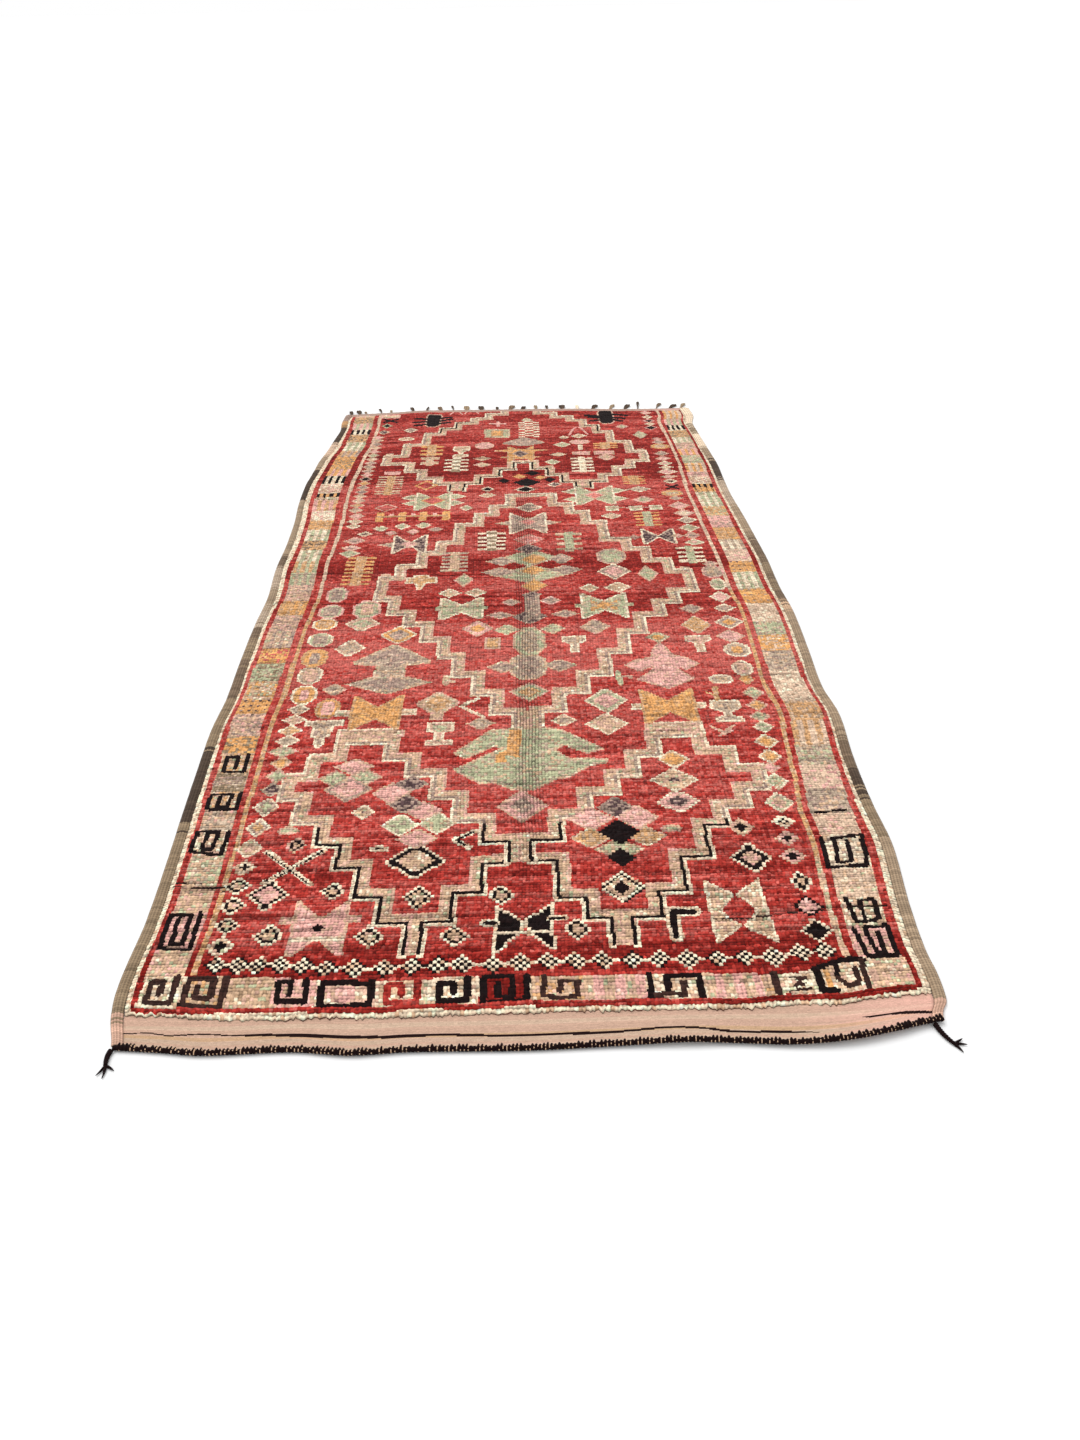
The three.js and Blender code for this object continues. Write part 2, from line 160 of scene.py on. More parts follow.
# Locks of warp ends at the far end: across, lean, reach, girth
LOCKS = (
    (-728, -6, 62, 15), (-690, -14, 60, 20), (-664, -6, 38, 11), (-600, -12, 78, 10), (-555, -6, 42, 10),
    (-463, -12, 64, 13), (-400, 0, 68, 9), (-340, -12, 58, 18), (-285, -13, 84, 8), (-228, -4, 62, 24),
    (-165, -3, 58, 23), (-98, 3, 46, 12), (-42, 17, 62, 22), (10, 16, 44, 16), (74, -3, 62, 15),
    (120, 1, 60, 12), (187, 0, 58, 26), (255, -1, 68, 12), (318, 22, 62, 20), (394, 22, 72, 17),
    (458, 24, 74, 19), (515, 10, 128, 11), (595, 27, 98, 11), (652, 34, 62, 18), (702, 22, 78, 17),
)
CREAM_LOCK = 17
LOCK_YARNS = ("bark", "bark", "hazel", "bark", "taupe")

# A lock from its root to its tip: share of the length, share of the girth, height
LOCK_PROFILE = ((0, 0.42, 4), (0.3, 0.6, 7), (0.6, 1, 12), (0.85, 1, 10), (1, 0.4, 4))

# Tassels: the cord's points and the tips of its loose strands, across and along
LEFT_TASSEL = (((-708, -90), (-712, -104), (-708, -124)), ((-718, -146), (-706, -153), (-691, -136)))
RIGHT_TASSEL = (((698, -77.5), (702, -102), (716, -124)), ((734, -112), (738, -126), (726, -144)))
TASSEL_GIRTH = 9
TASSEL_THICK = 7.5
STRAND_GIRTH = 5
PLY_RIPPLE = 0.12
PLY_TURNS = 60
CORD_TIP = 0.75
STRAND_TIP = 0.25
STRAND_BEND = (2.0, 1.0)
STRAND_STATIONS = 60
STRAND_AROUND = 10

# How dark or faded the red wool is along the rug, from -1, wine, to 1, coral
RED_TONE = (
    (0, -0.45), (80, -0.7), (145, -0.6), (165, 0.1), (300, 0.12), (500, 0.25), (900, 0.28), (1000, 0.38),
    (1150, 0.5), (1300, 0.8), (1450, 0.7), (1560, 0.45), (1640, 0), (1700, -0.3), (1780, 0.25),
    (1880, 0.3), (1940, -0.85), (2020, -0.5), (2080, 0.1), (2150, 0.25), (2300, 0.25), (2410, 0),
    (2470, 0.4), (2600, 0.45), (2760, 0.35), (2800, -0.4), (2960, -0.85), (3080, -0.65), (3160, -0.35),
    (3230, -0.1), (3300, -0.15), (3400, -0.15), (3500, 0.1), (3600, -0.35), (3700, -0.1),
)

# Yarns tied here and there among another: the other yarn, then each with its share
HEATHER = {
    "tan": (("blush", 0.22), ("cream", 0.08), ("sage", 0.1)), "blush": (("tan", 0.3), ("pink", 0.12)),
    "sage": (("stone", 0.2), ("tan", 0.12)), "grey": (("stone", 0.3), ("blush", 0.12)),
    "stone": (("tan", 0.25), ("grey", 0.12)), "orange": (("gold", 0.3),), "gold": (("tan", 0.25),),
    "pink": (("blush", 0.18),), "cream": (("tan", 0.12),), "plum": (("grey", 0.45),),
    "rose": (("pink", 0.3),),
}

# Half-widths of the figures from their near to their far end: height share, inner, outer
SHAPES = {
    "lozenge": ((-1, 0, 0.08), (0, 0, 1), (1, 0, 0.08)),
    "hexagon": ((-1, 0, 0.4), (-0.45, 0, 1), (0.45, 0, 1), (1, 0, 0.4)),
    "oval": ((-1, 0, 0.3), (-0.6, 0, 0.85), (0, 0, 1), (0.6, 0, 0.85), (1, 0, 0.3)),
    "block": ((-1, 0, 1), (1, 0, 1)),
    "star": ((-1, 0.78, 1), (-0.42, 0, 1), (0.35, 0, 1), (1, 0.85, 1)),
    "goblet": ((-1, 0, 0.9), (-0.5, 0, 0.8), (-0.45, 0, 0.28), (-0.1, 0, 0.3), (0.1, 0, 0.75),
               (0.3, 0, 1), (1, 0, 0.9)),
    "torch": ((-1, 0, 0.1), (-0.7, 0, 0.25), (-0.25, 0, 0.28), (-0.2, 0, 0.5), (0.55, 0, 0.55),
              (0.6, 0, 1), (1, 0, 1)),
    "spool": ((-1, 0, 1), (-0.55, 0, 1), (-0.5, 0, 0.4), (0.15, 0, 0.4), (0.2, 0, 1), (1, 0, 1)),
    "flask": ((-1, 0, 0.32), (-0.5, 0, 0.32), (0.15, 0, 1), (0.3, 0, 0.9), (1, 0, 0.1)),
    "fan": ((-1, 0, 0.25), (-0.4, 0, 1), (0.1, 0, 0.8), (1, 0, 0.15)),
    "arrow": ((-1, 0, 0.34), (-0.6, 0, 0.4), (-0.52, 0, 0.95), (-0.28, 0, 1), (1, 0, 0.06)),
    "bow": ((-1, 0.8, 1), (-0.12, 0, 1), (0.12, 0, 1), (1, 0.8, 1)),
    "cup": ((-1, 0, 0.36), (0, 0, 0.36), (0.12, 0, 0.6), (0.35, 0, 1), (1, 0, 0.95)),
    "pill": ((-1, 0, 0.55), (-0.75, 0, 0.95), (0.7, 0, 1), (1, 0, 0.8)),
    "tent": ((-1, 0.8, 1), (0.6, 0.3, 0.55), (1, 0, 0.2)),
}


def smooth_table(table, column, at):
    """Smooth reading of a listed table: between two rows a cubic meets both values, and its slope
    at a row is that between the rows on either side."""
    places = np.array([row[0] for row in table], float)
    values = np.array([row[column] for row in table], float)
    before = np.maximum(np.arange(len(places)) - 1, 0)
    after = np.minimum(np.arange(len(places)) + 1, len(places) - 1)
    slopes = (values[after] - values[before]) / (places[after] - places[before])
    at = np.clip(np.asarray(at, float), places[0], places[-1])
    i = np.clip(np.searchsorted(places, at) - 1, 0, len(places) - 2)
    span = places[i + 1] - places[i]
    t = (at - places[i]) / span
    u = 1 - t
    bend = span * t * u * (slopes[i] * u - slopes[i + 1] * t)
    return values[i] * u * u * (1 + 2 * t) + values[i + 1] * t * t * (1 + 2 * u) + bend


def ease(value, low, high):
    """Smooth rise from 0 at low to 1 at high, flat at both ends."""
    t = np.clip((value - low) / (high - low), 0, 1)
    return t * t * (3 - 2 * t)


def rise_and_fall(value, starts, full, fades, stops):
    """Smooth rise from 0 at starts to 1 at full, and smooth fall from 1 at fades to 0 at stops."""
    return ease(value, starts, full) * (1 - ease(value, fades, stops))


def cloth_left(row):
    """Left edge of the cloth, inside its binding."""
    return smooth_table(EDGES, 1, row) + BINDING_WIDTH + CLEARANCE


def cloth_right(row):
    """Right edge of the cloth, inside its binding."""
    return smooth_table(EDGES, 2, row) - BINDING_WIDTH - CLEARANCE


def along_at(across, row):
    """A row is straight in the middle of the rug and bends to the two ends' own lines near them."""
    near_line = smooth_table(NEAR_EDGE, 1, across) + EDGING_FLAT + CLEARANCE
    far_line = smooth_table(FAR_EDGE, 1, across)
    near_pull = (near_line - NEAR_END) * (1 - ease(row, NEAR_END, 0))
    far_pull = (far_line - FAR_END) * ease(row, FAR_WARP_STARTS, FAR_END)
    return row + near_pull + far_pull


def lift_at(across, row):
    """The loose near end stands off the floor, by the square of the way to its edge."""
    slack = np.clip((PILE_STARTS - row) / (PILE_STARTS - NEAR_END), 0, 1)
    return smooth_table(NEAR_EDGE, 2, across) * slack**2


def cloth_place(share, row):
    """Across and along of the point at a share of the cloth's width in a row."""
    across = cloth_left(row) + share * (cloth_right(row) - cloth_left(row))
    return across, along_at(across, row)


def pile_place(share, row):
    """Across and along of the pile: as the cloth, its first rows drawn to the uneven line where the
    pile begins."""
    across, along = cloth_place(share, row)
    pull = smooth_table(TUFT_EDGE, 1, across) - along_at(across, PILE_STARTS)
    return across, along + pull * (1 - ease(row, PILE_STARTS, TUFT_DRAW))


def frame_shift():
    """The loom's zero point in the frame: the cloth's lowest corner there, less that on the loom."""
    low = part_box("rug_cloth")[0]
    rows = np.linspace(NEAR_END, FAR_END, LOOK_ROWS)
    shares = np.linspace(0, 1, LOOK_COLUMNS)
    least_across = cloth_left(rows).min()
    least_along = cloth_place(shares, np.full(LOOK_COLUMNS, NEAR_END))[1].min()
    return low[0] - least_across * MM, low[1] - least_along * MM


SHIFT_ACROSS, SHIFT_ALONG = frame_shift()


def to_frame(across, along, height):
    """Loom millimetres to metres in the frame."""
    across, along, height = np.broadcast_arrays(across, along, height)
    return np.stack((across * MM + SHIFT_ACROSS, along * MM + SHIFT_ALONG, height * MM), axis=-1)


def dyed(name, description, *rgb):
    """A yarn's colour property, from its three values of 0 to 255."""
    return FloatVectorProperty(name=name, description=description, subtype="COLOR_GAMMA", size=3,
                               min=0, max=1, default=tuple(value / 255 for value in rgb))


class YarnColours(bpy.types.PropertyGroup):
    """Dyed and natural yarns of the rug."""

    red: dyed("Red", "Madder red of the field", 178, 56, 47)
    wine: dyed("Wine", "Deepest shade of the field's red", 126, 24, 17)
    coral: dyed("Coral", "Most faded shade of the field's red", 203, 103, 93)
    cream: dyed("Cream", "Undyed pale wool of outlines", 247, 222, 192)
    tan: dyed("Tan", "Warm sand of the border and bands", 209, 173, 141)
    blush: dyed("Blush", "Palest faded pink", 214, 172, 149)
    pink: dyed("Pink", "Faded pink", 233, 174, 162)
    rose: dyed("Rose", "Strong pink of a few lozenges", 224, 134, 121)
    sage: dyed("Sage", "Grey green of the stars", 184, 184, 147)
    stone: dyed("Stone", "Grey beige", 192, 169, 146)
    grey: dyed("Grey", "Mauve grey", 168, 141, 127)
    orange: dyed("Orange", "Soft orange", 228, 165, 102)
    gold: dyed("Gold", "Pale orange yellow", 211, 162, 114)
    plum: dyed("Plum", "Brown purple", 92, 70, 70)
    # Umber is also tied as painted shadow along the widest partings
    umber: dyed("Umber", "Brown black of the front hooks", 58, 36, 30)
    black: dyed("Black", "Near black brown", 23, 8, 8)
    taupe: dyed("Taupe", "Goat hair of the bindings", 152, 130, 104)
    flax: dyed("Flax", "Palest goat hair", 171, 147, 121)
    bark: dyed("Bark", "Darkest goat hair", 84, 69, 57)
    hazel: dyed("Hazel", "Brown goat hair", 128, 107, 87)
    wheat: dyed("Wheat", "Palest sand of the right border", 220, 188, 161)
    warp: dyed("Warp", "Pale yarn of the flat weave", 187, 160, 138)
    sand: dyed("Sand", "Tan yarn of the flat weave", 182, 149, 118)
    weft: dyed("Weft", "Pink yarn of the flat weave", 184, 151, 131)


YARNS = tuple(YarnColours.__annotations__)


def length(name, description, default):
    """A length property, in metres."""
    return FloatProperty(name=name, description=description, default=default, unit="LENGTH")


class RugSizes(bpy.types.PropertyGroup):
    """Sizes of the knots, wraps and plies that a user would change."""

    knots_across: IntProperty(name="Knots across", description="Columns of knots", default=200, min=50)
    knots_along: IntProperty(name="Knots along", description="Rows of knots", default=470, min=100)
    pile_height: length("Pile height", "Tips of the pile above the floor", 0.0125)
    rim_height: length("Rim height", "Pile beside the bindings", 0.0085)
    row_groove: length("Row groove", "Dip between two rows of knots", 0.0022)
    column_groove: length("Column groove", "Dip between two columns of knots", 0.0014)
    unevenness: length("Unevenness", "Slow rise and fall of the clipped pile", 0.0012)
    wrap_pitch: length("Wrap pitch", "From one overcast wrap of a binding to the next", 0.0065)
    stitch_pitch: length("Stitch pitch", "From one turn of the edging to the next", 0.0065)


def new_mesh(name, points, quads, caps=()):
    """A smooth mesh object at the origin from corner points, four-sided faces and larger end caps."""
    mesh = bpy.data.meshes.new(name)
    corners = np.concatenate([np.ravel(quads)] + [np.ravel(cap) for cap in caps]).astype(np.int32)
    counts = np.concatenate([np.full(len(quads), 4)] + [[len(cap)] for cap in caps])
    starts = np.concatenate(([0], np.cumsum(counts)[:-1])).astype(np.int32)
    mesh.vertices.add(len(points))
    mesh.vertices.foreach_set("co", np.asarray(points, np.float32).ravel())
    mesh.loops.add(len(corners))
    mesh.loops.foreach_set("vertex_index", corners)
    mesh.polygons.add(len(starts))
    mesh.polygons.foreach_set("loop_start", starts)
    mesh.update(calc_edges=True)
    mesh.shade_smooth()
    piece = bpy.data.objects.new(name, mesh)
    bpy.context.scene.collection.objects.link(piece)
    return piece


def grid_faces(rows, columns):
    """Four-sided faces of a grid of points, row by row, turned to face up where columns run right."""
    first = (np.arange(rows - 1)[:, None] * columns + np.arange(columns - 1)).ravel()
    return np.stack((first, first + 1, first + columns + 1, first + columns), axis=1)


def outline(rows, columns):
    """Numbers of the points round a grid's outline: its first row, last column, last row, first column."""
    index = np.arange(rows * columns).reshape(rows, columns)
    return np.concatenate((index[0, :-1], index[:-1, -1], index[-1, :0:-1], index[:0:-1, 0]))


def closed_slab(top, bottom):
    """A slab between two grids of points that share an outline: both grids' faces, the lower ones
    turned over, and a wall of faces round the outline."""
    rows, columns = top.shape[:2]
    upper = grid_faces(rows, columns)
    lower = grid_faces(rows, columns)[:, ::-1] + rows * columns
    ring = outline(rows, columns)
    after = np.roll(ring, -1)
    wall = np.stack((after, ring, ring + rows * columns, after + rows * columns), axis=1)
    points = np.concatenate((top.reshape(-1, 3), bottom.reshape(-1, 3)))
    return points, np.concatenate((upper, lower, wall))


def closed_tube(rings):
    """A tube through rings of points, one ring to a station: faces between neighbouring rings, and
    one cap at each end."""
    stations, around = rings.shape[:2]
    index = np.arange(stations * around).reshape(stations, around)
    after = np.roll(index, -1, axis=1)
    quads = np.stack((index[:-1], index[1:], after[1:], after[:-1]), axis=-1).reshape(-1, 4)
    return rings.reshape(-1, 3), quads, (index[0], index[-1, ::-1])


def round_rings(path, radius, around, flat=1.0):
    """Rings of points round a path that lies nearly level: sideways from the path's own direction
    and upwards, both by the radius, the height pressed by the share flat."""
    ahead = np.gradient(path, axis=0)
    side = np.stack((ahead[:, 1], -ahead[:, 0], np.zeros(len(path))), axis=1)
    side /= np.linalg.norm(side, axis=1)[:, None]
    angle = np.arange(around) / around * 2 * np.pi
    radius = np.broadcast_to(np.asarray(radius, float).reshape(len(path), -1), (len(path), around))
    sideways = (radius * np.cos(angle))[:, :, None] * side[:, None, :]
    upwards = (radius * flat * np.sin(angle))[:, :, None] * np.array((0, 0, 1.0))
    return path[:, None, :] + sideways + upwards


def join_shapes(shapes):
    """Several lists of points, faces and caps as one."""
    points, quads, caps, start = [], [], [], 0
    for shape_points, shape_quads, shape_caps in shapes:
        points.append(shape_points)
        quads.append(shape_quads + start)
        caps.extend(cap + start for cap in shape_caps)
        start += len(shape_points)
    return np.concatenate(points), np.concatenate(quads), caps


def paint(piece, colours, shade):
    """The yarn's colour on each face and the depth of shade on each point, as attributes."""
    mesh = piece.data
    rgba = np.ones((len(mesh.polygons), 4), np.float32)
    rgba[:, :3] = colours
    mesh.attributes.new("yarn", "FLOAT_COLOR", "FACE").data.foreach_set("color", rgba.ravel())
    depth = np.broadcast_to(np.asarray(shade, np.float32), len(mesh.vertices)).copy()
    mesh.attributes.new("shade", "FLOAT", "POINT").data.foreach_set("value", depth)


def linear(colour):
    """Screen colour to linear light, by the usual curve."""
    colour = np.asarray(colour, float)
    return np.where(colour <= 0.04045, colour / 12.92, ((colour + 0.055) / 1.055) ** 2.4)


def yarn_palette():
    """Linear colour of each yarn, in the order of YARNS."""
    colours = bpy.context.scene.rug_yarns
    return np.array([linear(tuple(getattr(colours, yarn))) for yarn in YARNS])


def yarn_light(yarn):
    """Linear colour of one yarn."""
    return yarn_palette()[YARNS.index(yarn)]


def stripe_yarns(table, places):
    """Number of the yarn at each place along the rug, from a table of first rows and yarns."""
    stripe = np.searchsorted([row for row, _ in table], places) - 1
    return np.array([YARNS.index(yarn) for _, yarn in table])[stripe]


NOISE_SPREAD = 0.5


def slow_noise(rng, rows, columns, coarse_rows, coarse_columns):
    """Random values on a coarse grid, read smoothly at a fine one, from about -1 to 1."""
    coarse = rng.normal(0, NOISE_SPREAD, (coarse_rows + 1, coarse_columns + 1))
    r = np.linspace(0, coarse_rows, rows)
    c = np.linspace(0, coarse_columns, columns)
    i = np.minimum(r.astype(int), coarse_rows - 1)
    j = np.minimum(c.astype(int), coarse_columns - 1)
    u = ease(r - i, 0, 1)[:, None]
    v = ease(c - j, 0, 1)[None, :]
    near = coarse[i][:, j] * (1 - v) + coarse[i][:, j + 1] * v
    far = coarse[i + 1][:, j] * (1 - v) + coarse[i + 1][:, j + 1] * v
    return near * (1 - u) + far * u


# Stepped bands: half-widths of the dark line, steps of the pale side, of the fill and of its rim
STAIR_HALF_ACROSS = 3.7
STAIR_HALF_ALONG = 4.0
STAIR_PALE = 2
STAIR_FILL = 4
STAIR_RIM = 2

# Border blocks: lanes across and up, plain foot of the marks, share of odd knots in a plain one
STRIPES_ACROSS = 6
TEETH_ACROSS = 7
DOTS_ACROSS = 12
DOTS_UP = 8
BLOCKS_ACROSS = 10
BLOCKS_UP = 9
BLOCK_FOOT = 0.1
ODD_KNOTS = 0.3
JUST_INSIDE = 0.999


class Loom:
    """The chart of the pile, at two steps to a knot each way: where each step lies and its yarn."""

    def __init__(self, knots_along, knots_across):
        self.rng = np.random.default_rng(SEED)
        self.knots = (knots_along, knots_across)
        rows, columns = 2 * knots_along, 2 * knots_across
        share = (np.arange(columns) + 0.5) / columns
        row = PILE_STARTS + (np.arange(rows) + 0.5) / rows * (PILE_STOPS - PILE_STARTS)
        self.across, self.along = pile_place(share[None, :], row[:, None])
        self.from_left = self.across - cloth_left(row)[:, None]
        self.from_right = cloth_right(row)[:, None] - self.across
        self.yarn = np.full(self.across.shape, YARNS.index("red"))
        self.even = by_knot(np.add.outer(np.arange(knots_along), np.arange(knots_across)) % 2 == 0)

    def tie(self, mask, yarn):
        """Tie the knots of a mask in one yarn, with those that go among it here and there. "dots"
        stands for black and cream in turn, as on a draughts board."""
        if yarn == "dots":
            self.tie(mask & ~self.even, "cream")
            mask, yarn = mask & self.even, "black"
        self.yarn[mask] = YARNS.index(yarn)
        chance = by_knot(self.rng.random(self.knots))
        for other, share in HEATHER.get(yarn, ()):
            self.yarn[mask & (chance < share)] = YARNS.index(other)
            chance -= share
            chance[chance < 0] = 1

    def bar(self, left, right, near, far, yarn):
        """Tie a straight block of knots."""
        beside = (self.across > left) & (self.across < right)
        self.tie(beside & (self.along > near) & (self.along < far), yarn)

    def layers(self, mask, yarns):
        """Tie a mask in rings from its outline inwards: one knot to a ring, or as many as the digit
        after a yarn's name says, and the last yarn fills the rest. With the word whole in front the
        rings are of whole knots, which touch only at their corners where the outline slants."""
        whole = yarns.startswith("whole")
        if whole:
            mask = by_knot(mask[::2, ::2])
        for word in yarns.removeprefix("whole").split():
            name = word.rstrip("0123456789")
            self.tie(mask, name)
            for _ in range(int(word[len(name):] or 1)):
                mask = by_knot(shrink(mask[::2, ::2])) if whole else shrink(shrink(mask))

    def figure(self, across, along, wide, tall, yarns, kind="lozenge"):
        """Tie a figure that is alike on both sides: at each height its knots lie between the
        shape's inner and outer half-width."""
        height, inner, outer = np.array(SHAPES[kind]).T
        v = (self.along - along) / (tall / 2)
        u = np.abs(self.across - across) / (wide / 2)
        level = (np.abs(v) <= 1) & (u <= np.interp(v, height, outer))
        self.layers(level & (u >= np.interp(v, height, inner)), yarns)

    def patch(self, corners, yarns):
        """Tie the inside of a drawn outline: a knot is inside if a line from it to the right
        crosses the outline an odd number of times."""
        inside = np.zeros(self.yarn.shape, bool)
        for (x0, y0), (x1, y1) in zip(corners, corners[1:] + corners[:1]):
            if y0 == y1:
                continue
            spans = (y0 > self.along) != (y1 > self.along)
            inside ^= spans & (self.across < x0 + (self.along - y0) * (x1 - x0) / (y1 - y0))
        self.layers(inside, yarns)

    def stroke(self, points, width, yarn):
        """Tie a line of the given width along straight stretches between points."""
        mask = np.zeros(self.yarn.shape, bool)
        for start, end in zip(points, points[1:]):
            mask |= self.near_line(start, end, width / 2)
        self.tie(mask, yarn)

    def near_line(self, start, end, reach):
        """Knots within reach of a straight stretch: the distance to its nearest point."""
        run = np.subtract(end, start).astype(float)
        x = self.across - start[0]
        y = self.along - start[1]
        t = np.clip((x * run[0] + y * run[1]) / (run @ run), 0, 1)
        return np.hypot(x - t * run[0], y - t * run[1]) <= reach

    def stair(self, start, steps, fill, dark):
        """Tie a stepped band: from the start each step goes sideways and then along to its corner.
        One line of dark knots follows the steps, pale knots lie one deep on its outer side, and on
        the other the fill two deep with a rim of one."""
        points = [start]
        for across, along in steps:
            points.append((across, points[-1][1]))
            points.append((across, along))
        line = np.zeros(self.yarn.shape, bool)
        for (x0, y0), (x1, y1) in zip(points, points[1:]):
            aside = np.abs(self.across - np.clip(self.across, min(x0, x1), max(x0, x1)))
            ahead = np.abs(self.along - np.clip(self.along, min(y0, y1), max(y0, y1)))
            line |= (aside < STAIR_HALF_ACROSS) & (ahead < STAIR_HALF_ALONG)
        side, ahead = fill
        self.tie(spread(line, -side, -ahead, STAIR_PALE), "cream")
        body = spread(line, side, ahead, STAIR_FILL)
        rim = spread(body, side, ahead, STAIR_RIM)
        self.tie(rim & ~body, "blush")
        self.tie(body & ~line, "tan")
        for yarn, near, far in dark:
            self.tie(line & (self.along > near) & (self.along < far), yarn)

    def ladder(self, across, near, far, wide, rungs, spine, yarn, spine_yarn):
        """Tie level rungs, evenly spaced, with a spine over their middles. Cream rungs have wine red
        between them, unless the spine is red, and on a dark spine a step of the rungs' yarn lies half
        way to each next rung."""
        pitch = (far - near) / rungs
        half = RUNG_SHARE * pitch / 2
        places = near + pitch * (np.arange(rungs) + 0.5)
        if yarn == "cream" and spine_yarn != "red":
            self.bar(across - wide / 2, across + wide / 2, places[0], places[-1], "wine")
        for along in places:
            self.bar(across - wide / 2, across + wide / 2, along - half, along + half, yarn)
        self.bar(across - spine / 2, across + spine / 2, near, far, spine_yarn)
        if spine_yarn in DARK_SPINES:
            for along in places + pitch / 2:
                self.bar(across - spine / 2, across + spine / 2, along - half, along + half, yarn)

    def check(self, across, along, wide, tall):
        """Tie a lozenge of whole knots in black and cream in turn, its middle knot black."""
        reach = np.abs(self.across - across) / wide + np.abs(self.along - along) / tall
        mask = by_knot((reach <= 0.5)[::2, ::2])
        middle = np.hypot(self.across - across, self.along - along).argmin()
        dark = self.even == self.even.ravel()[middle]
        self.tie(mask & dark, "black")
        self.tie(mask & ~dark, "cream")

    def border_block(self, inside, near, far, kind, first, second):
        """Tie one block of the border. inside holds each knot's share across the block, from 0 to 1
        (and outside that beyond it), near and far its reach, kind how the two yarns lie in it, where
        the plain kind has no name."""
        share, reach = inside
        mask = (share >= 0) & (share < 1) & (reach >= near) & (reach < far)
        up = (reach - near) / (far - near)
        if kind == "stripes":
            marks = lane(share, STRIPES_ACROSS) % 2 == 1
        elif kind == "teeth":
            marks = (lane(share, TEETH_ACROSS) % 2 == 0) & (up > BLOCK_FOOT)
        elif kind == "dots":
            marks = (lane(share, DOTS_ACROSS) % 3 == 1) & (lane(up, DOTS_UP) % 3 == 1)
        elif kind == "blocks":
            marks = (lane(share, BLOCKS_ACROSS) % 3 == 1) & (lane(up, BLOCKS_UP) % 4 < 3)
            marks &= up > BLOCK_FOOT
        else:
            marks = by_knot(self.rng.random(self.knots)) < ODD_KNOTS
        self.tie(mask & ~marks, first)
        self.tie(mask & marks, second)


def by_knot(values):
    """One value to a knot, as two by two steps of the chart."""
    return np.repeat(np.repeat(values, 2, axis=0), 2, axis=1)


def lane(share, count):
    """Which of count equal lanes a share from 0 to 1 falls in."""
    return (np.clip(share, 0, JUST_INSIDE) * count).astype(int)


def spread(mask, side, ahead, steps):
    """A mask grown by some steps towards one side, ahead, and into their corner."""
    for _ in range(steps):
        mask = mask | shifted(mask, side, 0)
        mask = mask | shifted(mask, 0, ahead)
    return mask


def shifted(mask, side, ahead):
    """A mask moved sideways and ahead, with nothing coming in at the edges."""
    moved = np.zeros_like(mask)
    rows, columns = mask.shape
    kept = mask[max(-ahead, 0):rows + min(-ahead, 0), max(-side, 0):columns + min(-side, 0)]
    moved[max(ahead, 0):rows + min(ahead, 0), max(side, 0):columns + min(side, 0)] = kept
    return moved


def shrink(mask):
    """A mask without those that have a neighbour outside it."""
    beside = shifted(mask, 1, 0) & shifted(mask, -1, 0)
    return mask & beside & shifted(mask, 0, 1) & shifted(mask, 0, -1)


# Blocks of the front border from left to right: where each starts, its main yarn, other yarn and kind
FRONT_BLOCKS = (
    (-692, "cream tan"), (-616, "tan gold"), (-537, "tan sand"), (-456, "pink blush"),
    (-378, "blush cream"), (-270, "tan cream"), (-180, "cream tan"), (-86, "wine red"), (5, "tan gold"),
    (100, "tan pink stripes"), (212, "cream tan"), (318, "tan pink stripes"), (420, "tan gold"),
    (437, "cream tan"), (515, "tan cream"), (616, "tan blush"),
)
FRONT_STOPS = 690

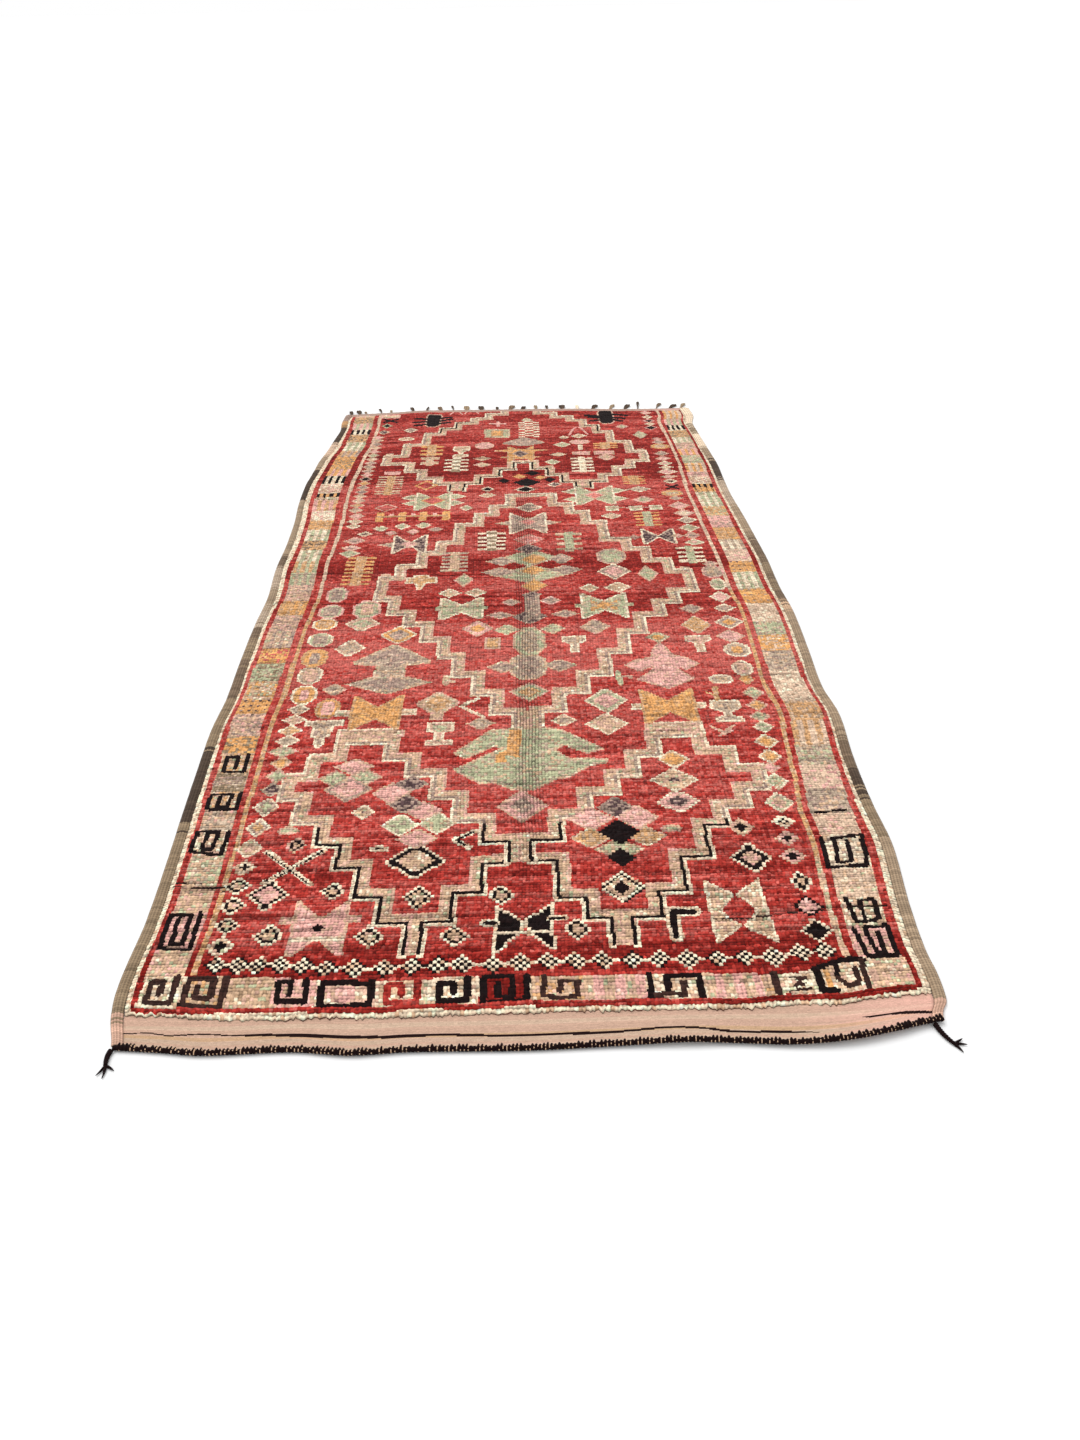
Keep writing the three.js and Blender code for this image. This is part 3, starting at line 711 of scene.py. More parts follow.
# Hooks of the borders: width, yarn, points
HOOKS = (
    (12, "umber", (-658, 38), (-658, 73), (-678, 73), (-678, 20), (-634, 14), (-634, 85)),
    (13, "umber", (-592, 58), (-592, 28), (-565, 26), (-567, 78), (-611, 78), (-611, 8), (-543, 4),
     (-545, 78)), (13, "black", (-424, 30), (-424, 63), (-447, 63), (-444, 13), (-394, 9), (-397, 66)),
    (14, "black", (-367, 0), (-367, 58), (-285, 54), (-279, 58), (-279, -4), (-367, -4)),
    (13, "red", (-224, 22), (-224, 47), (-250, 47), (-250, 2), (-196, 2), (-196, 60)),
    (13, "black", (-131, 22), (-131, 48), (-157, 50), (-157, 4), (-107, 4), (-107, 62)),
    (13, "black", (-52, 44), (-54, 12), (-27, 10), (-27, 62), (-78, 62), (-78, -3), (-1, -6), (-1, 62)),
    (11, "umber", (31, 62), (28, 10), (60, 3), (89, 8), (90, 48), (58, 48), (58, 20)),
    (13, "black", (220, 60), (220, -3), (232, -3)), (13, "umber", (255, 10), (228, 4)),
    (13, "black", (309, -3), (309, 54), (250, 54), (250, 18)),
    (12, "umber", (279, 38), (279, 4), (262, 6)), (14, "umber", (444, 2), (444, 54)),
    (8, "umber", (474, 42), (496, 40), (478, 20), (492, 24)), (7, "umber", (462, 6), (500, 12)),
    (16, "black", (522, 60), (522, 6), (546, 4)), (12, "orange", (538, 18), (538, 56)),
    (13, "black", (518, 62), (560, 80), (588, 88), (611, 84)), (11, "umber", (608, 84), (606, 6)),
    (11, "black", (561, 76), (556, 38)), (11, "umber", (556, 38), (570, 16), (590, 20), (593, 62)),
    (10.5, "black", (-633, 267), (-629, 161), (-688, 164), (-689, 265), (-649, 262), (-647, 176),
     (-669, 176), (-670, 252)),
    (10.5, "black", (-632, 543), (-633, 460), (-699, 474), (-699, 546), (-653, 544), (-656, 480),
     (-677, 481), (-676, 537)),
    (10.5, "black", (-634, 693), (-632, 629), (-699, 632), (-699, 692), (-654, 690), (-655, 641),
     (-677, 641), (-678, 680)),
    (10.5, "black", (-649, 864), (-647, 785), (-695, 786), (-696, 852), (-669, 852), (-668, 798)),
    (10.5, "black", (616, 172), (624, 93), (679, 95), (681, 180), (636, 175), (643, 104), (657, 104),
     (658, 163)),
    (10.5, "black", (622, 264), (627, 190), (660, 196), (672, 203), (674, 259), (648, 257), (645, 203)),
    (10.5, "black", (619, 470), (612, 366), (692, 371), (704, 476), (644, 467), (635, 381), (662, 385),
     (670, 457)), (7, "black", (627, 565), (692, 570)), (6, "grey", (620, 614), (690, 616)),
    (5, "grey", (-706, 758), (-640, 760)), (5, "grey", (-706, 746), (-640, 747)),
    (5, "grey", (-706, 735), (-640, 736)),
)

# Blocks of the left border, near to far, in the same way
LEFT_BLOCKS = (
    (75, "tan blush"), (158, "pink blush"), (270, "tan blush"), (355, "tan sage"), (458, "tan cream"),
    (550, "stone blush"), (625, "tan gold"), (698, "taupe stone"), (780, "tan gold"),
    (868, "orange taupe"), (950, "blush grey"), (1060, "orange plum dots"), (1130, "tan orange"),
    (1230, "sage taupe"), (1330, "orange coral"), (1425, "tan grey stripes"), (1530, "blush grey"),
    (1640, "gold orange stripes"), (1735, "blush tan"), (1790, "blush grey"), (1855, "sage stone stripes"),
    (1950, "gold sage stripes"), (2040, "cream sage stripes"), (2135, "gold hazel"),
    (2220, "cream sage stripes"), (2320, "gold orange"), (2410, "cream pink"), (2500, "pink gold stripes"),
    (2610, "tan black dots"), (2640, "orange black teeth"), (2682, "blush cream"),
    (2780, "cream black teeth"), (2872, "orange pink stripes"), (2950, "orange taupe"),
    (3100, "gold grey stripes"), (3180, "cream sage stripes"), (3290, "gold hazel"),
    (3392, "cream black teeth"), (3460, "pink sage stripes"), (3555, "gold taupe"),
    (3640, "blush tan stripes"),
)
LEFT_STOPS = 3760

# Blocks of the right border, near to far
RIGHT_BLOCKS = (
    (-8, "wheat tan"), (88, "pink blush"), (184, "tan cream"), (265, "wheat tan"), (360, "cream stone"),
    (478, "wheat blush"), (562, "stone grey blocks"), (655, "wheat pink"), (755, "stone sage"),
    (845, "gold wheat stripes"), (965, "gold stone dots"), (1060, "wheat cream"),
    (1230, "stone grey dots"), (1340, "orange wheat"), (1435, "sage grey dots"), (1520, "wheat cream"),
    (1650, "orange grey dots"), (1755, "cream sage stripes"), (1880, "orange plum dots"),
    (1965, "wheat pink"), (2060, "cream stone stripes"), (2150, "gold orange"), (2260, "pink grey"),
    (2370, "gold sage"), (2460, "cream sage stripes"), (2610, "orange black dots"),
    (2650, "orange black teeth"), (2700, "blush cream"), (2780, "pink grey"),
    (2835, "orange wheat stripes"), (2935, "sage stone"), (3030, "orange pink stripes"),
    (3110, "blush grey"), (3190, "cream sage stripes"), (3265, "gold taupe"), (3357, "cream black teeth"),
    (3432, "pink sage stripes"), (3520, "orange wheat stripes"), (3640, "tan blush"),
)
RIGHT_STOPS = 3760


# Overlap of the front border with the guard line, and the heart of one hook: from, to, near, far
GUARD_OVERLAP = 4
HOOK_HEART = (-342, -306, 6, 48)


def border_rows(blocks, stops):
    """The blocks of a border one by one: from, to, kind, main yarn, other yarn."""
    ends = [start for start, _ in blocks[1:]] + [stops]
    for (start, words), end in zip(blocks, ends):
        first, second, *kind = words.split()
        yield start, end, "".join(kind), first, second


def tie_borders(loom):
    """The guard lines and blocked borders, by the distance from the pile's side edges; the near
    end has its own border, and the far end has none."""
    inside = np.ones(loom.yarn.shape, bool)
    for distance, lines, blocks, stops in (
            (loom.from_left, LEFT_LINES, LEFT_BLOCKS, LEFT_STOPS),
            (loom.from_right, RIGHT_LINES, RIGHT_BLOCKS, RIGHT_STOPS)):
        columns = range(1, len(lines[0]))
        cream, start, stop, gold, field = (smooth_table(lines, column, loom.along) for column in columns)
        inside &= distance > start - GUARD_OVERLAP
        loom.tie(distance < cream, "cream")
        share = (distance - start) / (stop - start)
        if blocks is RIGHT_BLOCKS:
            share = 1 - share
        for row in border_rows(blocks, stops):
            loom.border_block((share, loom.along), *row)
        line = (distance > gold) & (distance < field)
        loom.tie(line & (loom.along > GOLD_STARTS), "gold")
        right_line = line & (loom.across > 0)
        loom.tie(right_line & (loom.along > GOLD_STARTS) & (loom.along < TAN_STOPS), "tan")
        loom.tie(line & (loom.along > GOLD_FADES), "wheat")
    red_line = smooth_table(FRONT_RED, 1, loom.across)
    near = red_line + FRONT_RED_HALF
    reach = (loom.along - near) / (smooth_table(FRONT_TOP, 1, loom.across) - near)
    for left, right, *rest in border_rows(FRONT_BLOCKS, FRONT_STOPS):
        share = np.where(inside, (loom.across - left) / (right - left), -1)
        loom.border_block((share, reach), 0, 1, *rest)
    for width, yarn, *points in HOOKS:
        loom.stroke(points, width, yarn)
    loom.bar(*HOOK_HEART, "pink")
    loom.tie(inside & (np.abs(loom.along - red_line) < FRONT_RED_HALF), "red")
    loom.tie(loom.along < red_line - FRONT_RED_HALF, "cream")


# Stepped bands: start, corners, side of the fill, yarns of the line (yarn, from, to)
NEAR_LINE = (("black", 0, 548), ("grey", 548, 4000))
FAR_LINE = (("grey", 0, 4000),)
PALE_LINE = (("blush", 0, 4000),)
BLACK_LINE = (("black", 0, 4000),)
STAIRS = (
    ((-228, 130), ((-228, 222), (-285, 305), (-337, 402), (-388, 488), (-440, 568), (-497, 664),
                   (-541, 742)), (1, 1), NEAR_LINE),
    ((-200, 130), ((-200, 222), (-145, 312), (-88, 408), (-45, 410)), (-1, 1), NEAR_LINE),
    ((-541, 763), ((-496, 845), (-440, 958), (-312, 958)), (1, -1), PALE_LINE),
    ((-33, 410), ((-33, 482), (-88, 566), (-150, 658), (-203, 753), (-264, 825), (-321, 905), (-415, 905)),
     (1, 1), NEAR_LINE),
    ((163, 145), ((163, 220), (118, 289), (65, 410), (12, 412)), (1, 1), NEAR_LINE),
    ((203, 145), ((203, 220), (262, 300), (318, 417), (380, 525), (430, 597), (487, 665), (540, 738)),
     (-1, 1), NEAR_LINE),
    ((540, 758), ((486, 838), (424, 955), (318, 955)), (-1, -1), PALE_LINE),
    ((12, 410), ((12, 487), (75, 575), (140, 660), (205, 733), (258, 815), (314, 905), (392, 905)),
     (-1, 1), NEAR_LINE),
    ((-20, 960), ((-20, 1033), (-74, 1128), (-124, 1236), (-178, 1345), (-222, 1450), (-277, 1550),
                  (-332, 1632), (-383, 1728), (-430, 1898)), (1, 1), FAR_LINE),
    ((42, 965), ((42, 1038), (99, 1133), (164, 1223), (227, 1352), (287, 1475), (342, 1585), (405, 1672),
                 (458, 1748), (518, 1905)), (-1, 1), FAR_LINE),
    ((-430, 1898), ((-383, 1990), (-322, 2098), (-266, 2180), (-213, 2340), (-150, 2437), (-100, 2515),
                    (-43, 2622), (38, 2622)), (1, -1), FAR_LINE),
    ((518, 1905), ((465, 1998), (405, 2098), (349, 2180), (281, 2342), (228, 2440), (176, 2518),
                   (120, 2622), (38, 2622)), (-1, -1), FAR_LINE),
    ((-257, 2680), ((-257, 2748), (-310, 2812), (-375, 2905), (-428, 2995), (-522, 3100)), (1, 1),
     (("black", 0, 2750), ("grey", 2750, 4000))),
    ((-205, 2680), ((-205, 2748), (-147, 2828), (-77, 2908), (-22, 2990), (14, 2990)), (-1, 1),
     BLACK_LINE),
    ((205, 2690), ((205, 2752), (157, 2830), (104, 2912), (47, 2990), (14, 2990)), (1, 1), BLACK_LINE),
    ((258, 2690), ((258, 2752), (313, 2818), (370, 2905), (428, 2975), (488, 3100)), (-1, 1),
     (("black", 0, 2755), ("grey", 2755, 4000))),
    ((-522, 3100), ((-455, 3243), (-383, 3385), (-323, 3455), (-263, 3530), (-196, 3588), (-135, 3650),
                    (-70, 3720)), (1, -1),
     (("grey", 0, 3385), ("black", 3385, 3535), ("grey", 3535, 4000))),
    ((488, 3100), ((438, 3232), (373, 3368), (323, 3455), (273, 3540), (220, 3595), (153, 3655),
                   (83, 3720)), (-1, -1),
     (("grey", 0, 3368), ("black", 3368, 3460), ("grey", 3460, 4000))),
)

# Chain of small checked lozenges in front of the field: across, along
CHECK_ROW = (
    (-574, 113), (-533, 110), (-493, 108), (-455, 107), (-413, 103), (-368, 95), (-317, 92), (-262, 92),
    (-213, 95), (-166, 97), (-119, 97), (-63, 92), (-15, 97), (37, 100), (89, 98), (138, 98), (191, 98),
    (242, 98), (294, 97), (347, 97), (397, 97), (452, 98), (503, 106), (547, 112),
)

# Figures of the near half: the shape, where it is not a lozenge, and the yarns from the outline
# inwards, then across, along, wide and tall of each
NEAR_FIGURES = (
    ("whole cream black tan", (-490, 195, 62, 66)), ("block: blush", (-398, 238, 158, 24)),
    ("star: blush pink", (-396, 214, 108, 164)), ("block: cream", (-396, 180, 104, 10)),
    ("black", (-398, 213, 30, 22)), ("whole cream black tan", (-385, 325, 54, 60)),
    ("whole cream black pink", (-513, 318, 82, 100)), ("whole blush black tan", (-482, 486, 50, 52)),
    ("oval: blush sage", (-505, 540, 48, 32)), ("whole cream black2 tan", (-228, 420, 132, 122)),
    ("whole cream black tan", (-215, 300, 64, 74)), ("oval: cream black", (-305, 467, 44, 22)),
    ("whole cream black tan", (-300, 183, 62, 68), (-137, 178, 62, 62), (-50, 302, 58, 62)),
    ("blush pink", (-228, 500, 92, 72)), ("cream sage", (-268, 552, 84, 84), (-188, 556, 84, 84)),
    ("blush pink", (-222, 606, 92, 74)), ("grey plum", (-264, 636, 84, 74)),
    ("blush pink", (-297, 680, 92, 84)), ("grey plum", (-255, 716, 84, 66)),
    ("cream tan2 plum", (-352, 605, 56, 56)), ("blush sage", (-430, 744, 84, 66), (-364, 748, 86, 68)),
    ("blush grey pink", (-395, 700, 116, 100)), ("blush pink", (-393, 795, 98, 70)),
    ("blush pink3 grey", (-6, 616, 116, 126)), ("whole cream black tan", (95, 190, 58, 64)),
    ("whole cream black2 blush", (460, 403, 92, 102)), ("blush tan black", (458, 515, 58, 66)),
    ("oval: blush sage", (310, 515, 46, 28)), ("grey plum", (198, 602, 84, 80)),
    ("blush pink", (140, 560, 104, 92), (243, 562, 94, 92)),
    ("tan gold", (138, 488, 92, 72), (256, 490, 88, 72)), ("tan sage", (195, 446, 108, 76)),
    ("whole black", (195, 508, 88, 88), (195, 415, 64, 66)),
    ("whole cream pink2 plum", (333, 618, 98, 92)), ("cream tan4 plum", (338, 708, 114, 96)),
    ("cream gold orange", (345, 795, 78, 76)), ("cream grey sage", (-568, 635, 60, 76)),
    ("stone plum", (-568, 705, 54, 58)), ("blush sage", (-565, 762, 54, 60)),
    ("blush gold orange", (-565, 820, 56, 62)), ("blush sage", (-570, 872, 76, 56)),
    ("cream stone", (-566, 920, 62, 56)), ("cream gold", (-567, 968, 62, 54)),
    ("cream blush", (-565, 1022, 64, 56)), ("cream stone", (-562, 1075, 60, 52)),
    ("oval: cream orange2 pink", (-560, 1150, 70, 104)),
    ("oval: cream stone blush", (-560, 1258, 70, 104)), ("oval: gold orange pink", (-490, 1076, 66, 98)),
    ("blush stone", (-485, 1175, 66, 64)), ("torch: cream stone", (-490, 948, 98, 136)),
    ("spool: cream blush sage", (-203, 937, 68, 112)), ("flask: blush tan2 gold", (-215, 1076, 114, 148)),
    ("blush stone", (-105, 982, 72, 62)), ("block: cream tan", (-367, 1047, 202, 30)),
    ("star: gold orange", (-366, 1050, 130, 172)), ("block: cream tan", (362, 1048, 186, 30)),
    ("star: gold orange", (363, 1050, 138, 172)), ("cream tan stone", (98, 990, 64, 62)),
    ("cream sage2 pink", (208, 1084, 112, 126)), ("cream tan2 blush", (203, 966, 108, 104)),
    ("goblet: cream stone", (503, 1016, 82, 112)), ("whole cream black", (545, 170, 60, 72)),
    ("whole black pink", (545, 243, 58, 60)), ("whole cream black tan", (545, 320, 50, 70)),
    ("whole blush pink black", (545, 407, 54, 60), (545, 470, 54, 58)),
    ("whole cream dots", (550, 530, 48, 50)), ("cream sage blush", (556, 606, 68, 78)),
    ("cream sage", (565, 690, 58, 66)), ("blush pink", (563, 748, 48, 44)),
    ("cream gold orange", (570, 798, 58, 66), (574, 866, 62, 70)), ("cream sage", (578, 934, 52, 56)),
    ("blush sage", (578, 986, 56, 52)), ("blush gold orange", (582, 1042, 60, 58)),
    ("blush sage", (582, 1106, 58, 66)), ("gold orange", (578, 1180, 42, 60)),
    ("oval: cream grey blush", (577, 1242, 58, 82)), ("oval: cream stone", (512, 1182, 66, 52)),
    ("whole cream tan black", (-577, 166, 58, 60)), ("whole cream black tan", (-577, 225, 52, 56)),
    ("whole cream black blush", (-577, 288, 52, 58)), ("whole cream black tan", (-577, 350, 54, 60)),
    ("whole blush cream black", (-577, 413, 54, 60)), ("cream tan blush", (-577, 480, 60, 70)),
    ("cream grey gold", (-572, 556, 56, 70)), ("tan stone2 grey", (-350, 1203, 228, 116)),
    ("hexagon: tan stone", (-352, 1262, 84, 60)), ("tan sage orange", (374, 1438, 70, 66)),
    ("arrow: tan stone2 grey", (-350, 1350, 212, 160)), ("blush sage2 gold", (16, 1140, 104, 96)),
    ("oval: tan stone2 grey", (14, 1282, 108, 156)), ("tan grey", (-52, 1280, 90, 66), (98, 1284, 96, 74)),
    ("hexagon: tan sage2 stone", (20, 1432, 90, 176)),
    ("tan sage", (-44, 1508, 76, 68), (86, 1508, 76, 68)), ("grey plum", (22, 1592, 104, 98)),
    ("cup: cream stone", (142, 1408, 70, 98)), ("cup: cream blush", (483, 1396, 74, 102)),
    ("blush pink2 orange", (-125, 1520, 92, 102)), ("block: blush gold", (-83, 1424, 44, 76)),
    ("cream orange2 grey", (-345, 1490, 108, 112)), ("cream blush2 sage", (-455, 1570, 102, 102)),
    ("cream blush stone", (-473, 1413, 88, 104)), ("blush stone2 grey", (205, 1515, 90, 98)),
    ("tan gold", (490, 1512, 88, 112)), ("blush grey", (490, 1620, 72, 62)),
    ("oval: gold orange2 grey", (-562, 1360, 74, 112)), ("hexagon: cream sage grey", (-562, 1470, 72, 82)),
    ("hexagon: cream orange gold", (-562, 1570, 72, 76)),
    ("oval: cream stone2 orange", (580, 1350, 76, 86)), ("blush pink", (575, 1435, 82, 82)),
    ("cream grey2 orange", (583, 1525, 86, 84)), ("cream grey", (585, 1620, 66, 58)),
)

# Figures of the far half
FAR_FIGURES = (
    ("hexagon: pink sage grey", (-555, 1655, 72, 96), (-552, 1775, 66, 112)),
    ("cream sage", (-552, 2100, 72, 62)), ("blush pink grey", (-552, 2147, 72, 50), (-547, 2210, 76, 62)),
    ("cream tan", (-567, 2345, 56, 50), (-565, 2388, 56, 50)), ("blush pink", (-565, 2440, 62, 60)),
    ("tan plum", (-560, 3420, 52, 62)), ("sage black", (-555, 3510, 44, 62)),
    ("block: pink tan", (-550, 3645, 80, 52)), ("block: orange", (-560, 3698, 70, 34)),
    ("cream pink", (585, 1700, 66, 82)), ("hexagon: cream sage", (590, 1790, 48, 82)),
    ("hexagon: pink grey stone", (588, 1888, 66, 102)), ("blush grey", (590, 1950, 52, 50)),
    ("cream sage pink", (563, 2130, 72, 52)), ("blush pink grey", (562, 2190, 54, 70)),
    ("cream tan sage", (562, 2260, 72, 70)), ("cream grey", (563, 2335, 72, 62)),
    ("blush pink cream", (562, 2402, 76, 76)), ("blush pink", (553, 2475, 76, 78)),
    ("blush grey", (550, 2552, 54, 44)), ("hexagon: gold orange tan", (543, 2605, 76, 60)),
    ("cream tan black", (550, 2735, 58, 52)), ("tan pink", (550, 2785, 62, 44)),
    ("cream pink", (550, 2840, 80, 62)), ("cream tan", (552, 2892, 54, 42)),
    ("cream sage pink", (552, 2940, 62, 52)), ("blush pink", (550, 3000, 62, 54)),
    ("blush grey", (552, 3060, 62, 60)), ("hexagon: gold orange tan", (555, 3150, 76, 62)),
    ("blush grey", (555, 3208, 62, 50)), ("blush pink", (552, 3248, 44, 42)),
    ("pink black", (543, 3405, 58, 56)), ("cream tan", (543, 3455, 46, 44)),
    ("pink black", (543, 3500, 50, 50)), ("cream tan", (543, 3560, 46, 50)),
    ("blush pink", (540, 3620, 52, 56)), ("hexagon: pink sage2 blush", (-452, 1665, 82, 126)),
    ("block: grey", (30, 1660, 44, 176)), ("grey plum", (30, 1745, 66, 48)),
    ("blush grey", (-32, 1695, 62, 50)), ("pink grey", (84, 1700, 66, 62)),
    ("blush grey", (-62, 1605, 84, 54), (124, 1605, 84, 54)), ("star: cream sage", (-176, 1660, 128, 156)),
    ("block: sage", (-176, 1660, 156, 26)), ("cream tan", (-215, 1770, 72, 62), (-138, 1770, 72, 62)),
    ("star: cream sage3 orange", (240, 1660, 138, 172)), ("block: sage", (240, 1660, 172, 26)),
    ("gold orange", (240, 1660, 60, 56)), ("cream tan", (203, 1785, 66, 62), (290, 1785, 86, 80)),
    ("blush sage", (-176, 1866, 62, 96), (388, 1884, 66, 126)),
    ("cream grey2 pink", (286, 1908, 108, 118)), ("hexagon: blush grey sage", (285, 2030, 92, 124)),
    ("tan sage", (32, 1900, 264, 130), (28, 2032, 196, 130)),
    ("gold orange", (38, 1812, 84, 94), (36, 1930, 84, 74), (40, 2020, 92, 82)),
    ("stone grey", (-62, 2008, 102, 72), (-66, 1922, 116, 72), (126, 2020, 84, 80), (134, 1928, 112, 72)),
    ("grey plum", (25, 2105, 92, 82)), ("blush rose", (25, 2190, 106, 88)),
    ("tan grey2 plum", (25, 2340, 222, 96)), ("star: cream grey", (25, 2340, 128, 192)),
    ("blush rose", (25, 2352, 66, 64)), ("cream stone grey", (30, 2490, 94, 92)),
    ("blush grey", (-385, 2168, 180, 70)), ("bow: cream plum", (-364, 2170, 116, 164)),
    ("blush pink", (-366, 2170, 60, 56)), ("bow: cream plum", (452, 2190, 112, 134)),
    ("blush pink", (372, 2190, 44, 34), (516, 2190, 44, 34)), ("cream tan plum", (-520, 2270, 54, 46)),
    ("blush pink", (-432, 2275, 46, 48), (-360, 2283, 46, 48)), ("blush grey", (-285, 2300, 54, 46)),
    ("cream sage", (-470, 2320, 58, 52), (-400, 2335, 58, 56), (-330, 2340, 58, 60)),
    ("cream tan", (310, 2390, 76, 62)),
    ("cream sage", (-386, 2616, 84, 56), (-234, 2618, 88, 56), (-384, 2556, 74, 52), (-236, 2552, 80, 52)),
    ("star: cream sage", (-310, 2575, 130, 182)), ("orange coral", (-310, 2582, 90, 80)),
    ("cream sage", (192, 2646, 90, 58), (340, 2646, 96, 58), (192, 2562, 84, 58), (340, 2562, 90, 54)),
    ("star: cream sage", (265, 2600, 142, 202)), ("blush rose", (265, 2600, 76, 82)),
    ("blush red coral", (-472, 2518, 84, 78)), ("cream sage", (-190, 2500, 54, 52)),
    ("block: pink", (-480, 2895, 62, 36)), ("cream stone", (430, 2655, 82, 62)),
    ("blush pink sage", (435, 2545, 78, 72)),
    ("black", (25, 2755, 104, 86), (-60, 2775, 52, 48), (110, 2780, 46, 54), (45, 2860, 66, 56)),
    ("cream black", (20, 2680, 84, 64)), ("cream plum", (125, 2725, 54, 52)),
    ("orange", (-4, 2822, 56, 54)), ("gold orange", (76, 2806, 46, 50)),
    ("cream black", (-118, 2690, 54, 50)), ("cream tan", (-118, 2625, 64, 54)),
    ("goblet: cream tan", (-230, 3140, 72, 142)),
    ("blush tan", (-145, 3045, 74, 54), (-145, 2970, 74, 54)),
    ("hexagon: blush pink", (-140, 3210, 74, 84)), ("star: gold orange", (4, 3098, 104, 190)),
    ("gold orange", (2, 3135, 236, 50), (2, 3055, 180, 44)), ("grey plum", (2, 3098, 66, 80)),
    ("fan: stone grey", (15, 3250, 174, 104)), ("block: tan sage", (-92, 3370, 104, 120)),
    ("block: gold orange", (-92, 3370, 52, 82)), ("cream tan", (240, 3312, 70, 54)),
    ("oval: blush pink", (240, 3232, 84, 62)), ("block: cream", (240, 3160, 18, 62)),
    ("block: blush pink", (240, 3085, 72, 42)), ("cream sage", (170, 3200, 72, 62)),
    ("cream tan", (180, 3300, 46, 44), (150, 3075, 72, 44)), ("cream sage", (125, 2985, 64, 62)),
    ("block: blush pink", (330, 3085, 82, 44)), ("blush pink tan", (335, 3030, 74, 80)),
    ("pill: blush black", (-362, 3574, 70, 190), (368, 3572, 70, 198)),
    ("cream grey", (-450, 3440, 64, 62)), ("pink sage", (425, 3430, 56, 62)),
    ("stone sage", (490, 3310, 60, 104)), ("hexagon: cream tan", (-460, 3320, 64, 46)),
    ("cream sage", (30, 3550, 48, 64)),
    ("tent: pink", (240, 3380, 84, 104), (-205, 3690, 70, 60), (-270, 3680, 60, 50)),
)

# Chain of lozenges in the left border of the field at its far end, and their inner yarns
LEFT_CHAIN_ACROSS = -575
LEFT_CHAIN_SIZE = (54, 52)
LEFT_CHAIN_FIRST = 2500
LEFT_CHAIN_PITCH = 47.2
LEFT_CHAIN = (
    "stone gold tan tan plum grey orange black pink grey "
    "stone grey tan sage pink tan grey stone pink"
).split()

# Ladders: across, near, far, wide, how many rungs, spine, their yarns
LADDERS = (
    (-508, 1840, 2075, 90, 8, 32, "orange", "gold"), (-210, 1930, 2095, 84, 6, 30, "stone", "tan"),
    (538, 1958, 2100, 84, 4, 26, "cream", "sage"), (-96, 2098, 2262, 92, 5, 32, "cream", "taupe"),
    (157, 2078, 2250, 84, 4, 30, "tan", "sage"), (432, 2280, 2425, 86, 5, 30, "orange", "sage"),
    (-480, 2655, 2860, 94, 8, 30, "tan", "gold"), (418, 2705, 2805, 84, 4, 40, "orange", "gold"),
    (-347, 2975, 3086, 72, 2, 30, "tan", "tan"), (-347, 3090, 3234, 88, 3, 36, "orange", "gold"),
    (-243, 2894, 3052, 92, 4, 32, "cream", "taupe"), (40, 3300, 3530, 84, 7, 34, "cream", "red"),
    (340, 3135, 3220, 92, 3, 40, "orange", "gold"), (238, 2852, 3040, 84, 5, 26, "cream", "cream"),
)
RUNG_SHARE = 0.5
DARK_SPINES = ("taupe", "red")

# Free strokes: width, yarn, points
STROKES = (
    (15, "cream", (-538, 466), (-432, 352)), (15, "cream", (-420, 466), (-526, 358)),
    (10, "dots", (-535, 462), (-436, 356)), (10, "dots", (-424, 462), (-522, 362)),
    (15, "cream", (-106, 522), (-148, 492), (-118, 466)),
    (7, "black", (-110, 518), (-144, 492), (-124, 472)), (28, "cream", (281, 163), (281, 236), (324, 236)),
    (13, "black", (281, 163), (281, 234), (322, 234)), (16, "cream", (-84, 216), (-60, 216)),
    (8, "black", (-80, 216), (-60, 216)), (16, "cream", (46, 224), (74, 226)),
    (8, "black", (46, 224), (70, 226)), (11, "cream", (-98, 1014), (-156, 1070), (-114, 1112)),
    (20, "tan", (-200, 1194), (-200, 1232)), (12, "tan", (-200, 1204), (-180, 1208)),
    (15, "sage", (250, 1170), (250, 1236)), (9, "blush", (250, 1212), (280, 1212), (280, 1200)),
    (15, "gold", (486, 1075), (490, 1138)), (9, "gold", (466, 1112), (486, 1096)),
    (9, "blush", (452, 942), (480, 912), (508, 944)), (9, "blush", (470, 898), (500, 920)),
    (17, "black", (-570, 3600), (-520, 3560)), (17, "black", (-570, 3560), (-520, 3600)),
    (12, "black", (530, 2690), (570, 2650)), (12, "black", (530, 2650), (570, 2690)),
    (9, "orange", (-345, 2790), (-306, 2745), (-345, 2700), (-384, 2745), (-345, 2790)),
    (14, "pink", (-90, 3470), (-90, 3540)), (14, "pink", (-120, 3505), (-60, 3505)),
    (24, "black", (-392, 3600), (-436, 3610)), (24, "black", (-392, 3562), (-440, 3548)),
    (24, "black", (-390, 3522), (-432, 3506)), (24, "black", (-332, 3606), (-294, 3614)),
    (24, "black", (-332, 3566), (-290, 3586)), (24, "black", (-334, 3528), (-298, 3540)),
    (26, "black", (338, 3586), (286, 3604)), (24, "black", (338, 3560), (300, 3574)),
    (24, "black", (340, 3530), (302, 3516)), (26, "black", (398, 3610), (452, 3586)),
    (24, "black", (398, 3562), (440, 3546)), (24, "black", (398, 3530), (426, 3506)),
    (16, "gold", (-485, 2430), (-256, 2430)), (10, "blush", (300, 2468), (484, 2468)),
)

# Painted shadow where rows have parted widest, tied as lines of umber knots: points
PARTING_SHADOW_LINES = (
    ((-706, 353), (-640, 351), (-566, 346)), ((-702, 365), (-652, 363)), ((-690, 340), (-600, 336)),
    ((354, 214), (400, 211), (450, 215), (505, 223), (560, 232), (620, 238), (698, 241)),
)
PARTING_SHADOW_WIDTH = 3.6
